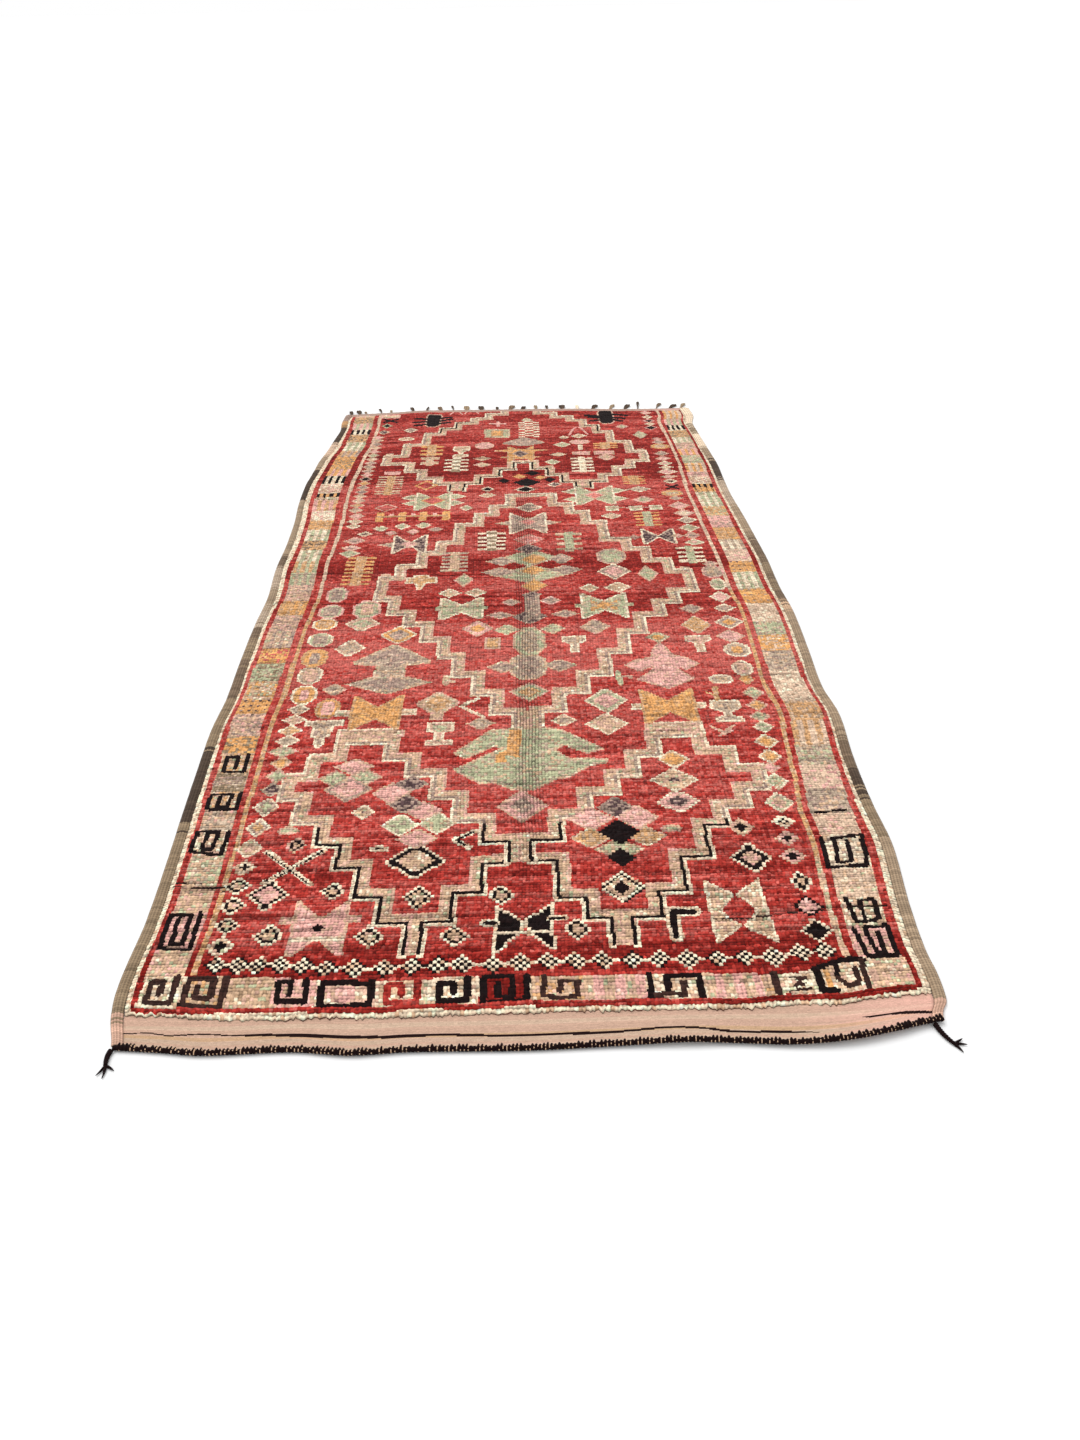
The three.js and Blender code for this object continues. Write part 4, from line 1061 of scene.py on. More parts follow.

# Outlines drawn where the two sides are not alike: corners, yarns
PATCHES = (
    (((-64, 184), (-64, 272), (-8, 222), (-8, 200), (-14, 184)), "whole cream black"),
    (((-64, 187), (-64, 120), (-4, 187)), "whole cream black"),
    (((52, 184), (52, 276), (-8, 222), (-6, 200), (0, 184)), "whole cream black"),
    (((52, 187), (52, 128), (-10, 187)), "whole cream black"),
    (((352, 337), (410, 286), (376, 236), (410, 188), (352, 136)), "cream tan"),
    (((464, 337), (410, 286), (444, 236), (410, 188), (470, 136)), "cream tan"),
    (((-20, 956), (-80, 950), (-168, 846), (-136, 816), (-72, 868), (-58, 860), (-166, 772), (-100, 706),
      (-70, 713), (-30, 680), (20, 676), (75, 722), (100, 724), (150, 772), (196, 786), (196, 806),
      (106, 812), (76, 850), (94, 870), (148, 828), (192, 850), (92, 946), (50, 960)), "tan sage"),
    (((375, 1410), (352, 1372), (340, 1318), (305, 1308), (268, 1276), (305, 1236), (345, 1262),
      (330, 1232), (292, 1190), (370, 1136), (446, 1190), (420, 1232), (405, 1262), (430, 1240),
      (470, 1274), (440, 1312), (404, 1330), (394, 1372)), "blush pink"),
    (((-355, 1848), (-355, 1890), (-332, 1890), (-332, 1906), (-285, 1906), (-285, 1890), (-257, 1890),
      (-257, 1848), (-290, 1848), (-302, 1798), (-316, 1798), (-326, 1848)), "cream gold"),
    (((-44, 830), (-10, 820), (-6, 950), (-34, 950)), "orange"),
    (((-68, 800), (-42, 800), (-44, 850), (-64, 836)), "orange"),
)


# Filled meetings of the bands: from, to, near, far, yarn
MEETINGS = (
    (-27, 50, 955, 1045, "tan"), (-25, 6, 418, 500, "blush"), (-436, -297, 908, 956, "tan"),
    (305, 424, 908, 954, "tan"),
)

# The checked lozenges' thread, their size, and the large one with its heart
CHECK_THREAD = 8
CHECK_SIZE = (48, 54)
LARGE_CHECK = (190, 316, 92, 108)
LARGE_HEART = (190, 316, 64, 76, "tan2 black")

# The rake at the left: from, to, near, far, yarn
RAKE = (
    (-498, -472, 2385, 2472, "orange"), (-421, -395, 2385, 2472, "orange"),
    (-348, -322, 2385, 2472, "orange"), (-269, -243, 2385, 2472, "orange"),
    (-454, -438, 2438, 2456, "pink"), (-379, -363, 2438, 2456, "pink"), (-304, -288, 2438, 2456, "pink"),
)

# The row of buttons at the right, as the figures
BUTTONS = (("block: cream sage", (318, 2462, 46, 46), (400, 2462, 46, 46), (470, 2462, 46, 46)),)


def figure_rows(figures):
    """The figures of a table one by one: across, along, wide, tall, yarns, shape."""
    for words, *places in figures:
        shape, _, yarns = words.rpartition(": ")
        for place in places:
            yield *place, yarns, shape or "lozenge"


def tie_field(loom):
    """The figures of the field, bands first."""
    for row in MEETINGS:
        loom.bar(*row)
    for start, steps, fill, dark in STAIRS:
        loom.stair(start, steps, fill, dark)
    loom.stroke(CHECK_ROW, CHECK_THREAD, "cream")
    for across, along in CHECK_ROW:
        loom.check(across, along, *CHECK_SIZE)
    loom.check(*LARGE_CHECK)
    loom.figure(*LARGE_HEART)
    for corners, yarns in PATCHES:
        loom.patch(corners, yarns)
    for row in figure_rows(NEAR_FIGURES + FAR_FIGURES):
        loom.figure(*row)
    for index, heart in enumerate(LEFT_CHAIN):
        along = LEFT_CHAIN_FIRST + index * LEFT_CHAIN_PITCH
        loom.figure(LEFT_CHAIN_ACROSS, along, *LEFT_CHAIN_SIZE, "blush " + heart)
    for row in LADDERS:
        loom.ladder(*row)
    for row in RAKE:
        loom.bar(*row)
    for row in figure_rows(BUTTONS):
        loom.figure(*row)
    for width, yarn, *points in STROKES:
        loom.stroke(points, width, yarn)
    # Painted shadow: umber lines along the widest partings between rows
    for points in PARTING_SHADOW_LINES:
        loom.stroke(points, PARTING_SHADOW_WIDTH, "umber")


# Unevenness of the red: drifts and streaks over so many patches, streaks gaining along, rows, knots
TONE_DRIFT = 0.35
DRIFT_PATCHES = (40, 6)
STREAK_PATCHES = (240, 14)
STREAK_NEAR = 0.4
STREAK_GAIN = 0.5
STREAK_GAINS = (1500, 3000)
TONE_BY_ROW = 0.22
TONE_BY_KNOT = 0.4

# Unevenness of every yarn's light, and its limits
LIGHT_BY_KNOT = 0.15
LIGHT_BY_STEP = 0.08
LIGHT_BY_ROW = 0.06
LIGHT_BY_PATCH = 0.16
PATCHES_ACROSS = 30
LIGHT_LIMITS = (0.001, 0.95)


def knot_colours(loom):
    """Linear colour of every knot: its yarn, the red shaded along the rug from wine to coral with
    slow drifts, and each knot a little lighter or darker than the next."""
    colour = yarn_palette()[loom.yarn]
    rows, columns = loom.yarn.shape
    rng = np.random.default_rng(SEED + 1)
    drift = slow_noise(rng, rows, columns, *DRIFT_PATCHES)
    tone = smooth_table(RED_TONE, 1, loom.along) + TONE_DRIFT * drift
    streaks = slow_noise(rng, rows, columns, *STREAK_PATCHES)
    tone += (STREAK_NEAR + STREAK_GAIN * ease(loom.along, *STREAK_GAINS)) * streaks
    tone += np.repeat(TONE_BY_ROW * rng.normal(0, 1, (rows // 2, 1)), 2, axis=0)
    tone += by_knot(TONE_BY_KNOT * rng.normal(0, 1, loom.knots))
    tone = np.clip(tone, -1, 1)[:, :, None]
    wine = yarn_light("wine")
    coral = yarn_light("coral")
    red = yarn_light("red")
    shaded = np.where(tone < 0, red + (wine - red) * -tone, red + (coral - red) * tone)
    colour = np.where((loom.yarn == YARNS.index("red"))[:, :, None], shaded, colour)
    light = 1 + by_knot(LIGHT_BY_KNOT * rng.normal(0, 1, loom.knots))
    light += LIGHT_BY_STEP * rng.normal(0, 1, (rows, columns))
    light += np.repeat(LIGHT_BY_ROW * rng.normal(0, 1, (rows // 2, 1)), 2, axis=0)
    light += LIGHT_BY_PATCH * slow_noise(rng, rows, columns, rows // 2, PATCHES_ACROSS)
    return np.clip(colour * light[:, :, None], *LIGHT_LIMITS)


def parted_rows(rng, across, along):
    """How far rows have parted, from 0 to 1 at every point: each parting runs between two rows from
    one place to another and is widest in its middle."""
    rows, columns = across.shape
    depth = np.zeros((rows, columns))
    places = LOOSE_FROM + LOOSE_LENGTH * rng.random(LOOSE_PARTINGS) ** LOOSE_CROWDING
    middles = rng.uniform(-LOOSE_ASIDE, LOOSE_ASIDE, LOOSE_PARTINGS)
    halves = rng.uniform(*LOOSE_HALVES, LOOSE_PARTINGS)
    loose = tuple(zip(places, middles - halves, middles + halves))
    for place, left, right in PARTINGS + loose:
        column = np.abs(across[0] - (left + right) / 2).argmin()
        row = 2 * np.abs(along[::2, column] - place).argmin()
        t = np.clip((across[row] - left) / (right - left), 0, 1)
        gap = np.sin(np.pi * t) ** 0.5
        for step, share in PARTING_STEPS:
            depth[row + step] = np.maximum(depth[row + step], share * gap)
    return depth


# Dips between rows and columns: mean strength, drift over so many lanes, spread, limits
GROOVE_MEAN = 0.68
GROOVE_DRIFT = 0.6
GROOVE_LANES = 60
GROOVE_SPREAD = 0.2
GROOVE_LIMITS = (0.05, 1.4)
ROW_LIMITS = (0.6, 1.25)
COLUMN_LIMITS = (0, 1.2)

# Combed lane in the middle: where it rises and falls, its depth
COMB_ALONG = (250, 700, 2300, 2900)
COMB_ACROSS = (-30, -6, 16, 60)
COMB_DEPTH = 2.0

# Clipped surface: patches of its drift, roughness, rolled edges, still rim, shaken tips, frayed end
DRIFT_GRID = (70, 26)
CLIP_ROUGHNESS = 0.45
SIDE_ROLL = 16
END_ROLL = 14
END_DROP = 5
LEAST_STAND = 1
STILL_RIM = 2
TIP_SHAKE = 0.55
FRAY = 2.2

# Painted shade in the dips, besides their real depth: between rows, between columns, in partings, in the
# combed lane
ROW_SHADE = 0.95
COLUMN_SHADE = 0.5
PARTING_SHADE = 1.2
COMB_SHADE = 0.7


def pile_surface(sizes):
    """Points and shade of the whole pile on a grid of two steps to a knot: the middle of a knot
    stands high, the lines between rows and columns dip, some rows part wider, a lane in the middle
    is combed, the clipped height drifts slowly, and the pile rolls down at its four edges and frays
    at the near one."""
    rows = 2 * sizes.knots_along + 1
    columns = 2 * sizes.knots_across + 1
    grid = (rows, columns)
    rng = np.random.default_rng(SEED + 2)
    share = np.arange(columns) / (columns - 1)
    row = PILE_STARTS + np.arange(rows) / (rows - 1) * (PILE_STOPS - PILE_STARTS)
    across, along = pile_place(share[None, :], row[:, None])
    from_side = np.minimum(across - cloth_left(row)[:, None], cloth_right(row)[:, None] - across)
    strength = GROOVE_MEAN + GROOVE_DRIFT * slow_noise(rng, *grid, rows // 2, GROOVE_LANES)
    strength = strength + rng.normal(0, GROOVE_SPREAD, grid)
    row_lines = (np.arange(rows) % 2 == 0)[:, None]
    column_lines = (np.arange(columns) % 2 == 0)[None, :]
    between_rows = row_lines * np.clip(strength, *GROOVE_LIMITS) * rng.uniform(*ROW_LIMITS, (rows, 1))
    between_columns = column_lines * rng.uniform(*COLUMN_LIMITS, grid)
    parting = parted_rows(rng, across, along)
    comb = rise_and_fall(along, *COMB_ALONG) * rise_and_fall(across, *COMB_ACROSS) * column_lines
    dip = sizes.row_groove / MM * between_rows + sizes.column_groove / MM * between_columns
    dip = dip + PARTING_DEPTH * parting + COMB_DEPTH * comb
    drift = sizes.unevenness / MM * slow_noise(rng, *grid, *DRIFT_GRID)
    height = sizes.pile_height / MM + drift - dip + rng.normal(0, CLIP_ROUGHNESS, grid)
    roll = (sizes.pile_height - sizes.rim_height) / MM
    height = height - roll * (1 - ease(from_side, 0, SIDE_ROLL)) ** 2
    ends = np.minimum(row - PILE_STARTS, PILE_STOPS - row)
    height = height - END_DROP * (1 - ease(ends, 0, END_ROLL))[:, None] ** 2
    height = np.maximum(height, PILE_ROOT + LEAST_STAND)
    inner = (from_side > STILL_RIM) & (ends > STILL_RIM)[:, None]
    across = across + inner * rng.normal(0, TIP_SHAKE, grid)
    along = along + inner * rng.normal(0, TIP_SHAKE, grid)
    fray = rng.normal(0, FRAY, columns) * (from_side[0] > STILL_RIM)
    along = along + fray * (1 - ease(row, PILE_STARTS, PILE_STARTS + END_ROLL))[:, None]
    shade = ROW_SHADE * between_rows + COLUMN_SHADE * between_columns
    shade = np.clip(shade + PARTING_SHADE * parting + COMB_SHADE * comb, 0, 1)
    return to_frame(across, along, height), shade


PILE_STRIPS = 5
CAP_ROWS = 6
# Painted shade: a strip's walls and bottom take this share of the mean colour of its first column
SIDE_PAINTED_SHADE = 0.6

# A strip's flat layout in shares of its width and height: its lengths, and the margin at their right
FOLDS = 4
FOLD_WIDE = 0.235
FOLD_PITCH = 0.245
FOLD_FROM = 0.003
FOLD_TALL = 0.99
FOLD_FOOT = 0.005
CELL_INSET = 0.1
MARGIN_FROM = 0.984
MARGIN_WIDE = 0.014
MARGIN_LANES = 4
MARGIN_TOP = 0.93
CAP_FROM = (0.945, 0.97)
CAP_TALL = 0.02


def pile_strip(name, points, shade, colours, first, last):
    """One length of pile, from knot column first to last: the surface on top, a wall round it and a
    level bottom. Its own map lays the strip out in four lengths side by side."""
    top = points[:, 2 * first:2 * last + 1]
    rows, columns = top.shape[:2]
    foot = top.copy()
    foot[:, :, 2] = PILE_ROOT * MM
    ring = outline(rows, columns)
    after = np.roll(ring, -1)
    low = rows * columns + np.arange(len(ring))
    wall = np.stack((after, ring, low, np.roll(low, -1)), axis=1)
    upper = grid_faces(rows, columns)
    quads = np.concatenate((upper, wall))
    vertices = np.concatenate((top.reshape(-1, 3), foot.reshape(-1, 3)[ring]))
    right = columns - 1 + np.arange(rows)
    left = np.concatenate(([0], len(ring) - np.arange(1, rows)))
    level = slice(CAP_ROWS, -CAP_ROWS)
    floor = np.stack((left[level][:-1], left[level][1:], right[level][1:], right[level][:-1]), axis=1)
    quads = np.concatenate((quads, floor + rows * columns))
    near_cap = np.concatenate((np.arange(columns)[::-1], left[1:CAP_ROWS + 1], right[CAP_ROWS:0:-1]))
    far_cap = np.concatenate((np.arange(right[-1], left[-1] + 1)[::-1], right[-2:-CAP_ROWS - 2:-1],
                              left[-CAP_ROWS - 1:-1]))
    caps = (near_cap + rows * columns, far_cap + rows * columns)
    piece = new_mesh(name, vertices, quads, caps)
    knots = colours[:, 2 * first:2 * last].reshape(-1, 3)
    # Painted shade on the walls and bottom: their faces darkened, their points at full shade
    side = colours[:, 2 * first].mean(axis=0) * SIDE_PAINTED_SHADE
    sides = np.tile(side, (len(piece.data.polygons) - len(knots), 1))
    depth = np.concatenate((shade[:, 2 * first:2 * last + 1].ravel(), np.ones(len(ring))))
    paint(piece, np.concatenate((knots, sides)), depth)
    fold_map(piece, rows, columns, len(upper))
    return piece


def fold_map(piece, rows, columns, upper):
    """Flat layout of a strip for its baked picture: four lengths side by side, rows up and columns
    across, and what is not on top in a narrow margin at the right."""
    mesh = piece.data
    corners = np.empty(len(mesh.loops), np.int32)
    mesh.loops.foreach_get("vertex_index", corners)
    flat = np.zeros((len(corners), 2), np.float32)
    face = np.arange(upper)
    row, column = np.divmod(face, columns - 1)
    length = (rows - 1) / FOLDS
    fold = np.minimum(row // length, FOLDS - 1)[:, None]
    step = np.array(((0, 0), (1, 0), (1, 1), (0, 1)))
    u = (column[:, None] + step[:, 0]) / (columns - 1) * FOLD_WIDE + fold * FOLD_PITCH + FOLD_FROM
    v = (row[:, None] + step[:, 1] - fold * length) / length * FOLD_TALL + FOLD_FOOT
    flat[:4 * upper] = np.stack((u, v), axis=-1).reshape(-1, 2)
    sides = len(mesh.polygons) - upper - 2
    cell, lanes = np.divmod(np.arange(sides), MARGIN_LANES)
    tall = MARGIN_TOP / (cell[-1] + 1)
    inset = CELL_INSET + (1 - 2 * CELL_INSET) * step
    u = MARGIN_FROM + (lanes[:, None] + inset[:, 0]) * MARGIN_WIDE / MARGIN_LANES
    v = (cell[:, None] + inset[:, 1]) * tall
    flat[4 * upper:4 * (upper + sides)] = np.stack((u, v), axis=-1).reshape(-1, 2)
    points = np.empty(3 * len(mesh.vertices), np.float32)
    mesh.vertices.foreach_get("co", points)
    caps = corners[4 * (upper + sides):]
    for half, cap in enumerate(np.split(caps, 2)):
        plan = points.reshape(-1, 3)[cap, :2]
        plan = (plan - plan.min(axis=0)) / np.ptp(plan, axis=0)
        first = 4 * (upper + sides) + half * len(cap)
        flat[first:first + len(cap)] = (MARGIN_FROM, CAP_FROM[half]) + plan * (MARGIN_WIDE, CAP_TALL)
    layer = mesh.uv_layers.new(name="OFBake")
    layer.data.foreach_set("uv", flat.ravel())


# Matt wool: roughness and shine, how fibres lighten and darken it, how its painted shade darkens what lies
# deep
WOOL_ROUGHNESS = 0.95
WOOL_SHINE = 0.05
SHEEN_ROUGHNESS = 0.5
FIBRE_DETAIL = 3
FIBRE_ROUGHNESS = 0.65
FIBRE_RANGE = (0.25, 0.75)
FIBRE_LIGHT = (0.72, 1.28)
DEPTH_POWER = 1.3
DEPTH_LIGHT = 0.22
RELIEF_STRENGTH = 0.6


def set_sockets(node, values):
    """Set a node's sockets, by name or number, to plain values."""
    for name, value in values.items():
        node.inputs[name].default_value = value


def add_node(tree, kind, sockets=None, **settings):
    """A shader node with the values of its sockets and its own settings."""
    node = tree.nodes.new(kind)
    for name, value in settings.items():
        setattr(node, name, value)
    set_sockets(node, sockets or {})
    return node


def wool_material(name):
    """Wool: the yarn attribute gives the colour, the shade attribute darkens what lies deep, and
    noise of the fibre's size, drawn out along the yarn, lightens, darkens and roughens it."""
    fibre, stretch, relief, sheen = WOOLS[name]
    material = bpy.data.materials.new(name)
    material.use_nodes = True
    tree = material.node_tree
    shader = tree.nodes["Principled BSDF"]
    set_sockets(shader, {"Roughness": WOOL_ROUGHNESS, "Specular IOR Level": WOOL_SHINE,
                         "Sheen Weight": sheen, "Sheen Roughness": SHEEN_ROUGHNESS})
    yarn = add_node(tree, "ShaderNodeAttribute", attribute_name="yarn")
    shade = add_node(tree, "ShaderNodeAttribute", attribute_name="shade")
    place = add_node(tree, "ShaderNodeTexCoord")
    mapping = add_node(tree, "ShaderNodeMapping", {"Scale": stretch})
    noise = add_node(tree, "ShaderNodeTexNoise",
                     {"Scale": 1 / fibre, "Detail": FIBRE_DETAIL, "Roughness": FIBRE_ROUGHNESS})
    light = add_node(tree, "ShaderNodeMapRange",
                     {"From Min": FIBRE_RANGE[0], "From Max": FIBRE_RANGE[1],
                      "To Min": FIBRE_LIGHT[0], "To Max": FIBRE_LIGHT[1]})
    narrow = add_node(tree, "ShaderNodeMath", {1: DEPTH_POWER}, operation="POWER")
    deep = add_node(tree, "ShaderNodeMapRange", {"To Min": 1.0, "To Max": DEPTH_LIGHT})
    both = add_node(tree, "ShaderNodeMath", operation="MULTIPLY")
    tint = add_node(tree, "ShaderNodeVectorMath", operation="SCALE")
    bump = add_node(tree, "ShaderNodeBump", {"Strength": RELIEF_STRENGTH, "Distance": relief})
    for source, output, target, socket in (
            (place, "Object", mapping, "Vector"), (mapping, "Vector", noise, "Vector"),
            (noise, "Fac", light, "Value"), (shade, "Fac", narrow, 0), (narrow, "Value", deep, "Value"),
            (light, "Result", both, 0), (deep, "Result", both, 1), (yarn, "Color", tint, 0),
            (both, "Value", tint, "Scale"), (tint, "Vector", shader, "Base Color"),
            (noise, "Fac", bump, "Height"), (bump, "Normal", shader, "Normal")):
        tree.links.new(source.outputs[output], target.inputs[socket])
    return material


# Wools of the pieces: fibre and relief in metres, the fibre's stretch between them, and sheen
WOOLS = {
    "knotted_wool": (0.003, (1, 0.4, 1), 0.0012, 0.05),
    "flat_woven_wool": (0.0012, (0.4, 1, 1), 0.0006, 0.03),
    "goat_hair": (0.0014, (0.5, 1, 1), 0.0009, 0.05),
    "black_wool": (0.0012, (1, 0.6, 1), 0.0007, 0.05),
    "tassel_wool": (0.001, (1, 0.5, 1), 0.0006, 0.05),
    "fringe_wool": (0.0012, (1, 0.4, 1), 0.0008, 0.05),
}


def finish_piece(piece, material, slot, *nodes):
    """Give a piece its wool, hang it from the root body and hide the solids that it stands for; the slot
    is not used.
    """
    piece.data.materials.append(material)
    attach(piece, "root")
    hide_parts(*nodes)


class RUG_OT_tie_pile(bpy.types.Operator):
    """Tie the knotted pile, in five lengths side by side"""

    bl_idname = "rug.tie_pile"
    bl_label = "Knotted pile"

    def execute(self, context):
        sizes = context.scene.rug_sizes
        loom = Loom(sizes.knots_along, sizes.knots_across)
        tie_borders(loom)
        tie_field(loom)
        colours = knot_colours(loom)
        points, shade = pile_surface(sizes)
        wool = wool_material("knotted_wool")
        edges = np.linspace(0, sizes.knots_across, PILE_STRIPS + 1).astype(int)
        for index, (first, last) in enumerate(zip(edges, edges[1:])):
            strip = pile_strip(f"pile_{index + 1}", points, shade, colours, first, last)
            finish_piece(strip, wool, "knotted_wool", "rug_cloth")
        return {"FINISHED"}


# Stripes of the flat weave: from row, yarn
WEAVE_STRIPES = (
    (-200, "warp"), (-97, "weft"), (-91, "warp"), (-82, "sand"), (-71, "weft"), (-54, "warp"),
    (-42, "weft"), (3600, "grey"),
)

# Dark weft line of the near weave: across, along, half-width
WEFT_LINE = (
    (-725, -48, 1.4), (-690, -51, 1.4), (-655, -50, 1.4), (-620, -58, 1.4), (-560, -57, 1.7),
    (-510, -62, 1.7), (-440, -63, 3.2), (-380, -67, 4.3), (-320, -72, 3.8), (-250, -75, 3.8),
    (-150, -73, 3.2), (-50, -78, 2.9), (50, -78, 3.5), (150, -77, 2.9), (240, -71, 2.9), (300, -75, 2.9),
    (350, -84, 3.2), (420, -88, 2.9), (470, -91, 2), (510, -93, 0), (570, -60, 0), (590, -58, 2.3),
    (620, -53, 2.6), (660, -50, 4.3), (735, -52, 3.8),
)
WEFT_LIGHT = 1.3

# Steps of the weave along and across, and the depth of its ribs
NEAR_STEP = 2.0
ROWS_UNDER_PILE = 20
FAR_ROWS = 10
WEAVE_COLUMNS = 240
RIB_DEPTH = 0.35

# Fading to pink at the right: how far, where across, its drift over so many patches
PINK_FADE = 0.42
PINK_ACROSS = (420, 720)
PINK_DRIFT = 0.15
PINK_PATCHES = (30, 8)

# How far the weave's faces and rows differ in light
WEAVE_BY_FACE = 0.05
WEAVE_BY_ROW = 0.04


def weave_stripes(rows, across, along):
    """Colour of every face of the weave: its row's stripe, faded to pink at the right, with the
    dark weft line over it."""
    rng = np.random.default_rng(SEED + 3)
    yarn = stripe_yarns(WEAVE_STRIPES, (rows[:-1] + rows[1:]) / 2)
    x = (across[1:, 1:] + across[:-1, :-1]) / 2
    y = (along[1:, 1:] + along[:-1, :-1]) / 2
    colours = np.repeat(yarn_palette()[yarn][:, None, :], x.shape[1], axis=1)
    pink = PINK_FADE * ease(x, *PINK_ACROSS) + PINK_DRIFT * slow_noise(rng, *x.shape, *PINK_PATCHES)
    colours = colours + (yarn_light("pink") - colours) * np.clip(pink, 0, 1)[:, :, None]
    colours = colours * rng.normal(1, WEAVE_BY_FACE, x.shape)[:, :, None]
    colours = colours * rng.normal(1, WEAVE_BY_ROW, (len(yarn), 1, 1))
    dark = np.abs(y - smooth_table(WEFT_LINE, 1, x)) < smooth_table(WEFT_LINE, 2, x)
    colours = np.where(dark[:, :, None], yarn_light("black") * WEFT_LIGHT, colours)
    return colours.reshape(-1, 3)


class RUG_OT_weave_ground(bpy.types.Operator):
    """Weave the ground that carries the pile and shows flat at both ends"""

    bl_idname = "rug.weave_ground"
    bl_label = "Flat weave"

    def execute(self, context):
        rows = np.concatenate((np.arange(NEAR_END, PILE_STARTS, NEAR_STEP),
                               np.linspace(PILE_STARTS, PILE_STOPS, ROWS_UNDER_PILE),
                               np.linspace(PILE_STOPS, FAR_END, FAR_ROWS)[1:]))
        share = np.linspace(0, 1, WEAVE_COLUMNS)
        across, along = cloth_place(share[None, :], rows[:, None])
        lift = lift_at(across, rows[:, None])
        rib = RIB_DEPTH * (np.arange(len(rows)) % 2)[:, None]
        top = to_frame(across, along, lift + GROUND_THICK - rib)
        bottom = to_frame(across, along, lift)
        points, quads = closed_slab(top, bottom)
        piece = new_mesh("ground_weave", points, quads)
        colours = weave_stripes(rows, across, along)
        edge = np.tile(yarn_light("weft"), (len(quads) - 2 * len(colours), 1))
        paint(piece, np.concatenate((colours, colours, edge)), 0.0)
        wool = wool_material("flat_woven_wool")
        finish_piece(piece, wool, "knotted_wool", "rug_cloth")
        return {"FINISHED"}


# Goat hair of the bindings, near to far: from row, yarn
LEFT_HAIR = (
    (-200, "blush"), (-20, "taupe"), (580, "bark"), (900, "taupe"), (1150, "hazel"), (1350, "taupe"),
    (1480, "hazel"), (1590, "stone"), (1700, "flax"), (1830, "stone"), (2010, "hazel"), (2110, "flax"),
    (2620, "bark"), (3000, "flax"), (3150, "wheat"), (3330, "bark"), (3560, "gold"), (3650, "grey"),
)
RIGHT_HAIR = (
    (-200, "blush"), (-20, "flax"), (480, "taupe"), (640, "bark"), (760, "hazel"), (900, "flax"),
    (1590, "tan"), (1670, "hazel"), (1760, "taupe"), (1830, "hazel"), (1890, "taupe"), (1960, "hazel"),
    (2200, "flax"), (2480, "stone"), (2750, "bark"), (3000, "flax"), (3140, "cream"), (3340, "taupe"),
    (3420, "flax"), (3490, "cream"),
)

# How far the loose hair stands outside the binding's edge: row, left, right
HAIR_SPILL = (
    (-105, 0, 0), (100, 3, 3), (1000, 5, 4), (1500, 6, 4), (2000, 3, 6), (2300, 1, 8), (2700, 0, 5),
    (3100, 5, 9), (3300, 8, 7), (3500, 3, 9), (3620, 6, 15), (3738, 6, 20),
)
BINDING_RIBS = 4

# Section of a binding: edges, crown and ribs, fullness of a wrap, unevenness, underside
EDGE_HEIGHT = 1.2
CROWN_HEIGHT = 5.8
RIB_HEIGHT = 1.5
CROWN_FROM = 0.06
CROWN_POWER = 0.55
WRAP_FULLNESS = 0.75
HAIR_UNEVENNESS = 0.5
HAIR_PATCHES = (200, 2)
UNDER_INSET = 2
UNDER_HEIGHT = 0.2

# Hair: how far lengths run into each other, how wraps differ in light, shade of the grooves
HAIR_OVERLAP = 18
HAIR_BY_WRAP = 0.13
RIB_SHADE = 0.5
WRAP_SHADE = 0.35


def bind_side(sizes, side, table, name, node, wool):
    """One binding: a ring of points at each station, the top in four rounded ribs, every wrap
    a little fuller in its middle, the underside level, the outer edge let out by loose hair."""
    wraps = int((FAR_END - NEAR_END) * MM / sizes.wrap_pitch)
    rows = np.linspace(NEAR_END, FAR_END, 2 * wraps + 1)
    sign = 1 if side == 1 else -1
    outer = smooth_table(EDGES, side, rows)
    inner = outer + sign * BINDING_WIDTH
    outer = outer - sign * smooth_table(HAIR_SPILL, side, rows)
    u = np.linspace(0, 1, 2 * BINDING_RIBS + 1)
    crown = np.sin(np.pi * np.clip(u, CROWN_FROM, 1 - CROWN_FROM)) ** CROWN_POWER
    rib = np.abs(np.sin(np.pi * BINDING_RIBS * u))
    full = WRAP_FULLNESS * (np.arange(len(rows)) % 2)[:, None]
    rng = np.random.default_rng(SEED + 4 + side)
    uneven = HAIR_UNEVENNESS * slow_noise(rng, len(rows), len(u), *HAIR_PATCHES)
    height = EDGE_HEIGHT + crown * (CROWN_HEIGHT + RIB_HEIGHT * rib) + full + uneven
    across = outer[:, None] + (inner - outer)[:, None] * u
    inset = sign * UNDER_INSET
    under = np.stack((across[:, -1] - inset, across[:, 0] + inset), axis=1)
    across = np.concatenate((across, under), axis=1)
    height = np.concatenate((height, np.full(under.shape, UNDER_HEIGHT)), axis=1)
    along = along_at(across, rows[:, None])
    height = height + lift_at(across, rows[:, None])
    rings = to_frame(across, along, height)
    points, quads, caps = closed_tube(rings if sign < 0 else rings[:, ::-1])
    piece = new_mesh(name, points, quads, caps)
    wrap = np.repeat(np.arange(wraps), 2)
    place = rows[::2][wrap] + np.repeat(rng.normal(0, HAIR_OVERLAP, wraps), 2)
    yarn = stripe_yarns(table, place)
    tone = np.repeat(rng.normal(1, HAIR_BY_WRAP, wraps), 2)[:, None]
    colours = np.repeat(yarn_palette()[yarn] * tone, rings.shape[1], axis=0)
    ends = np.tile(yarn_light("taupe"), (len(caps), 1))
    groove = np.concatenate((1 - rib, (1, 1)))
    groove = groove[::-1] if sign > 0 else groove
    between = (np.arange(len(rows)) % 2 == 0)[:, None]
    shade = np.clip(RIB_SHADE * groove[None, :] + WRAP_SHADE * between, 0, 1)
    paint(piece, np.concatenate((colours, ends)), shade.ravel())
    finish_piece(piece, wool, "goat_hair", node)


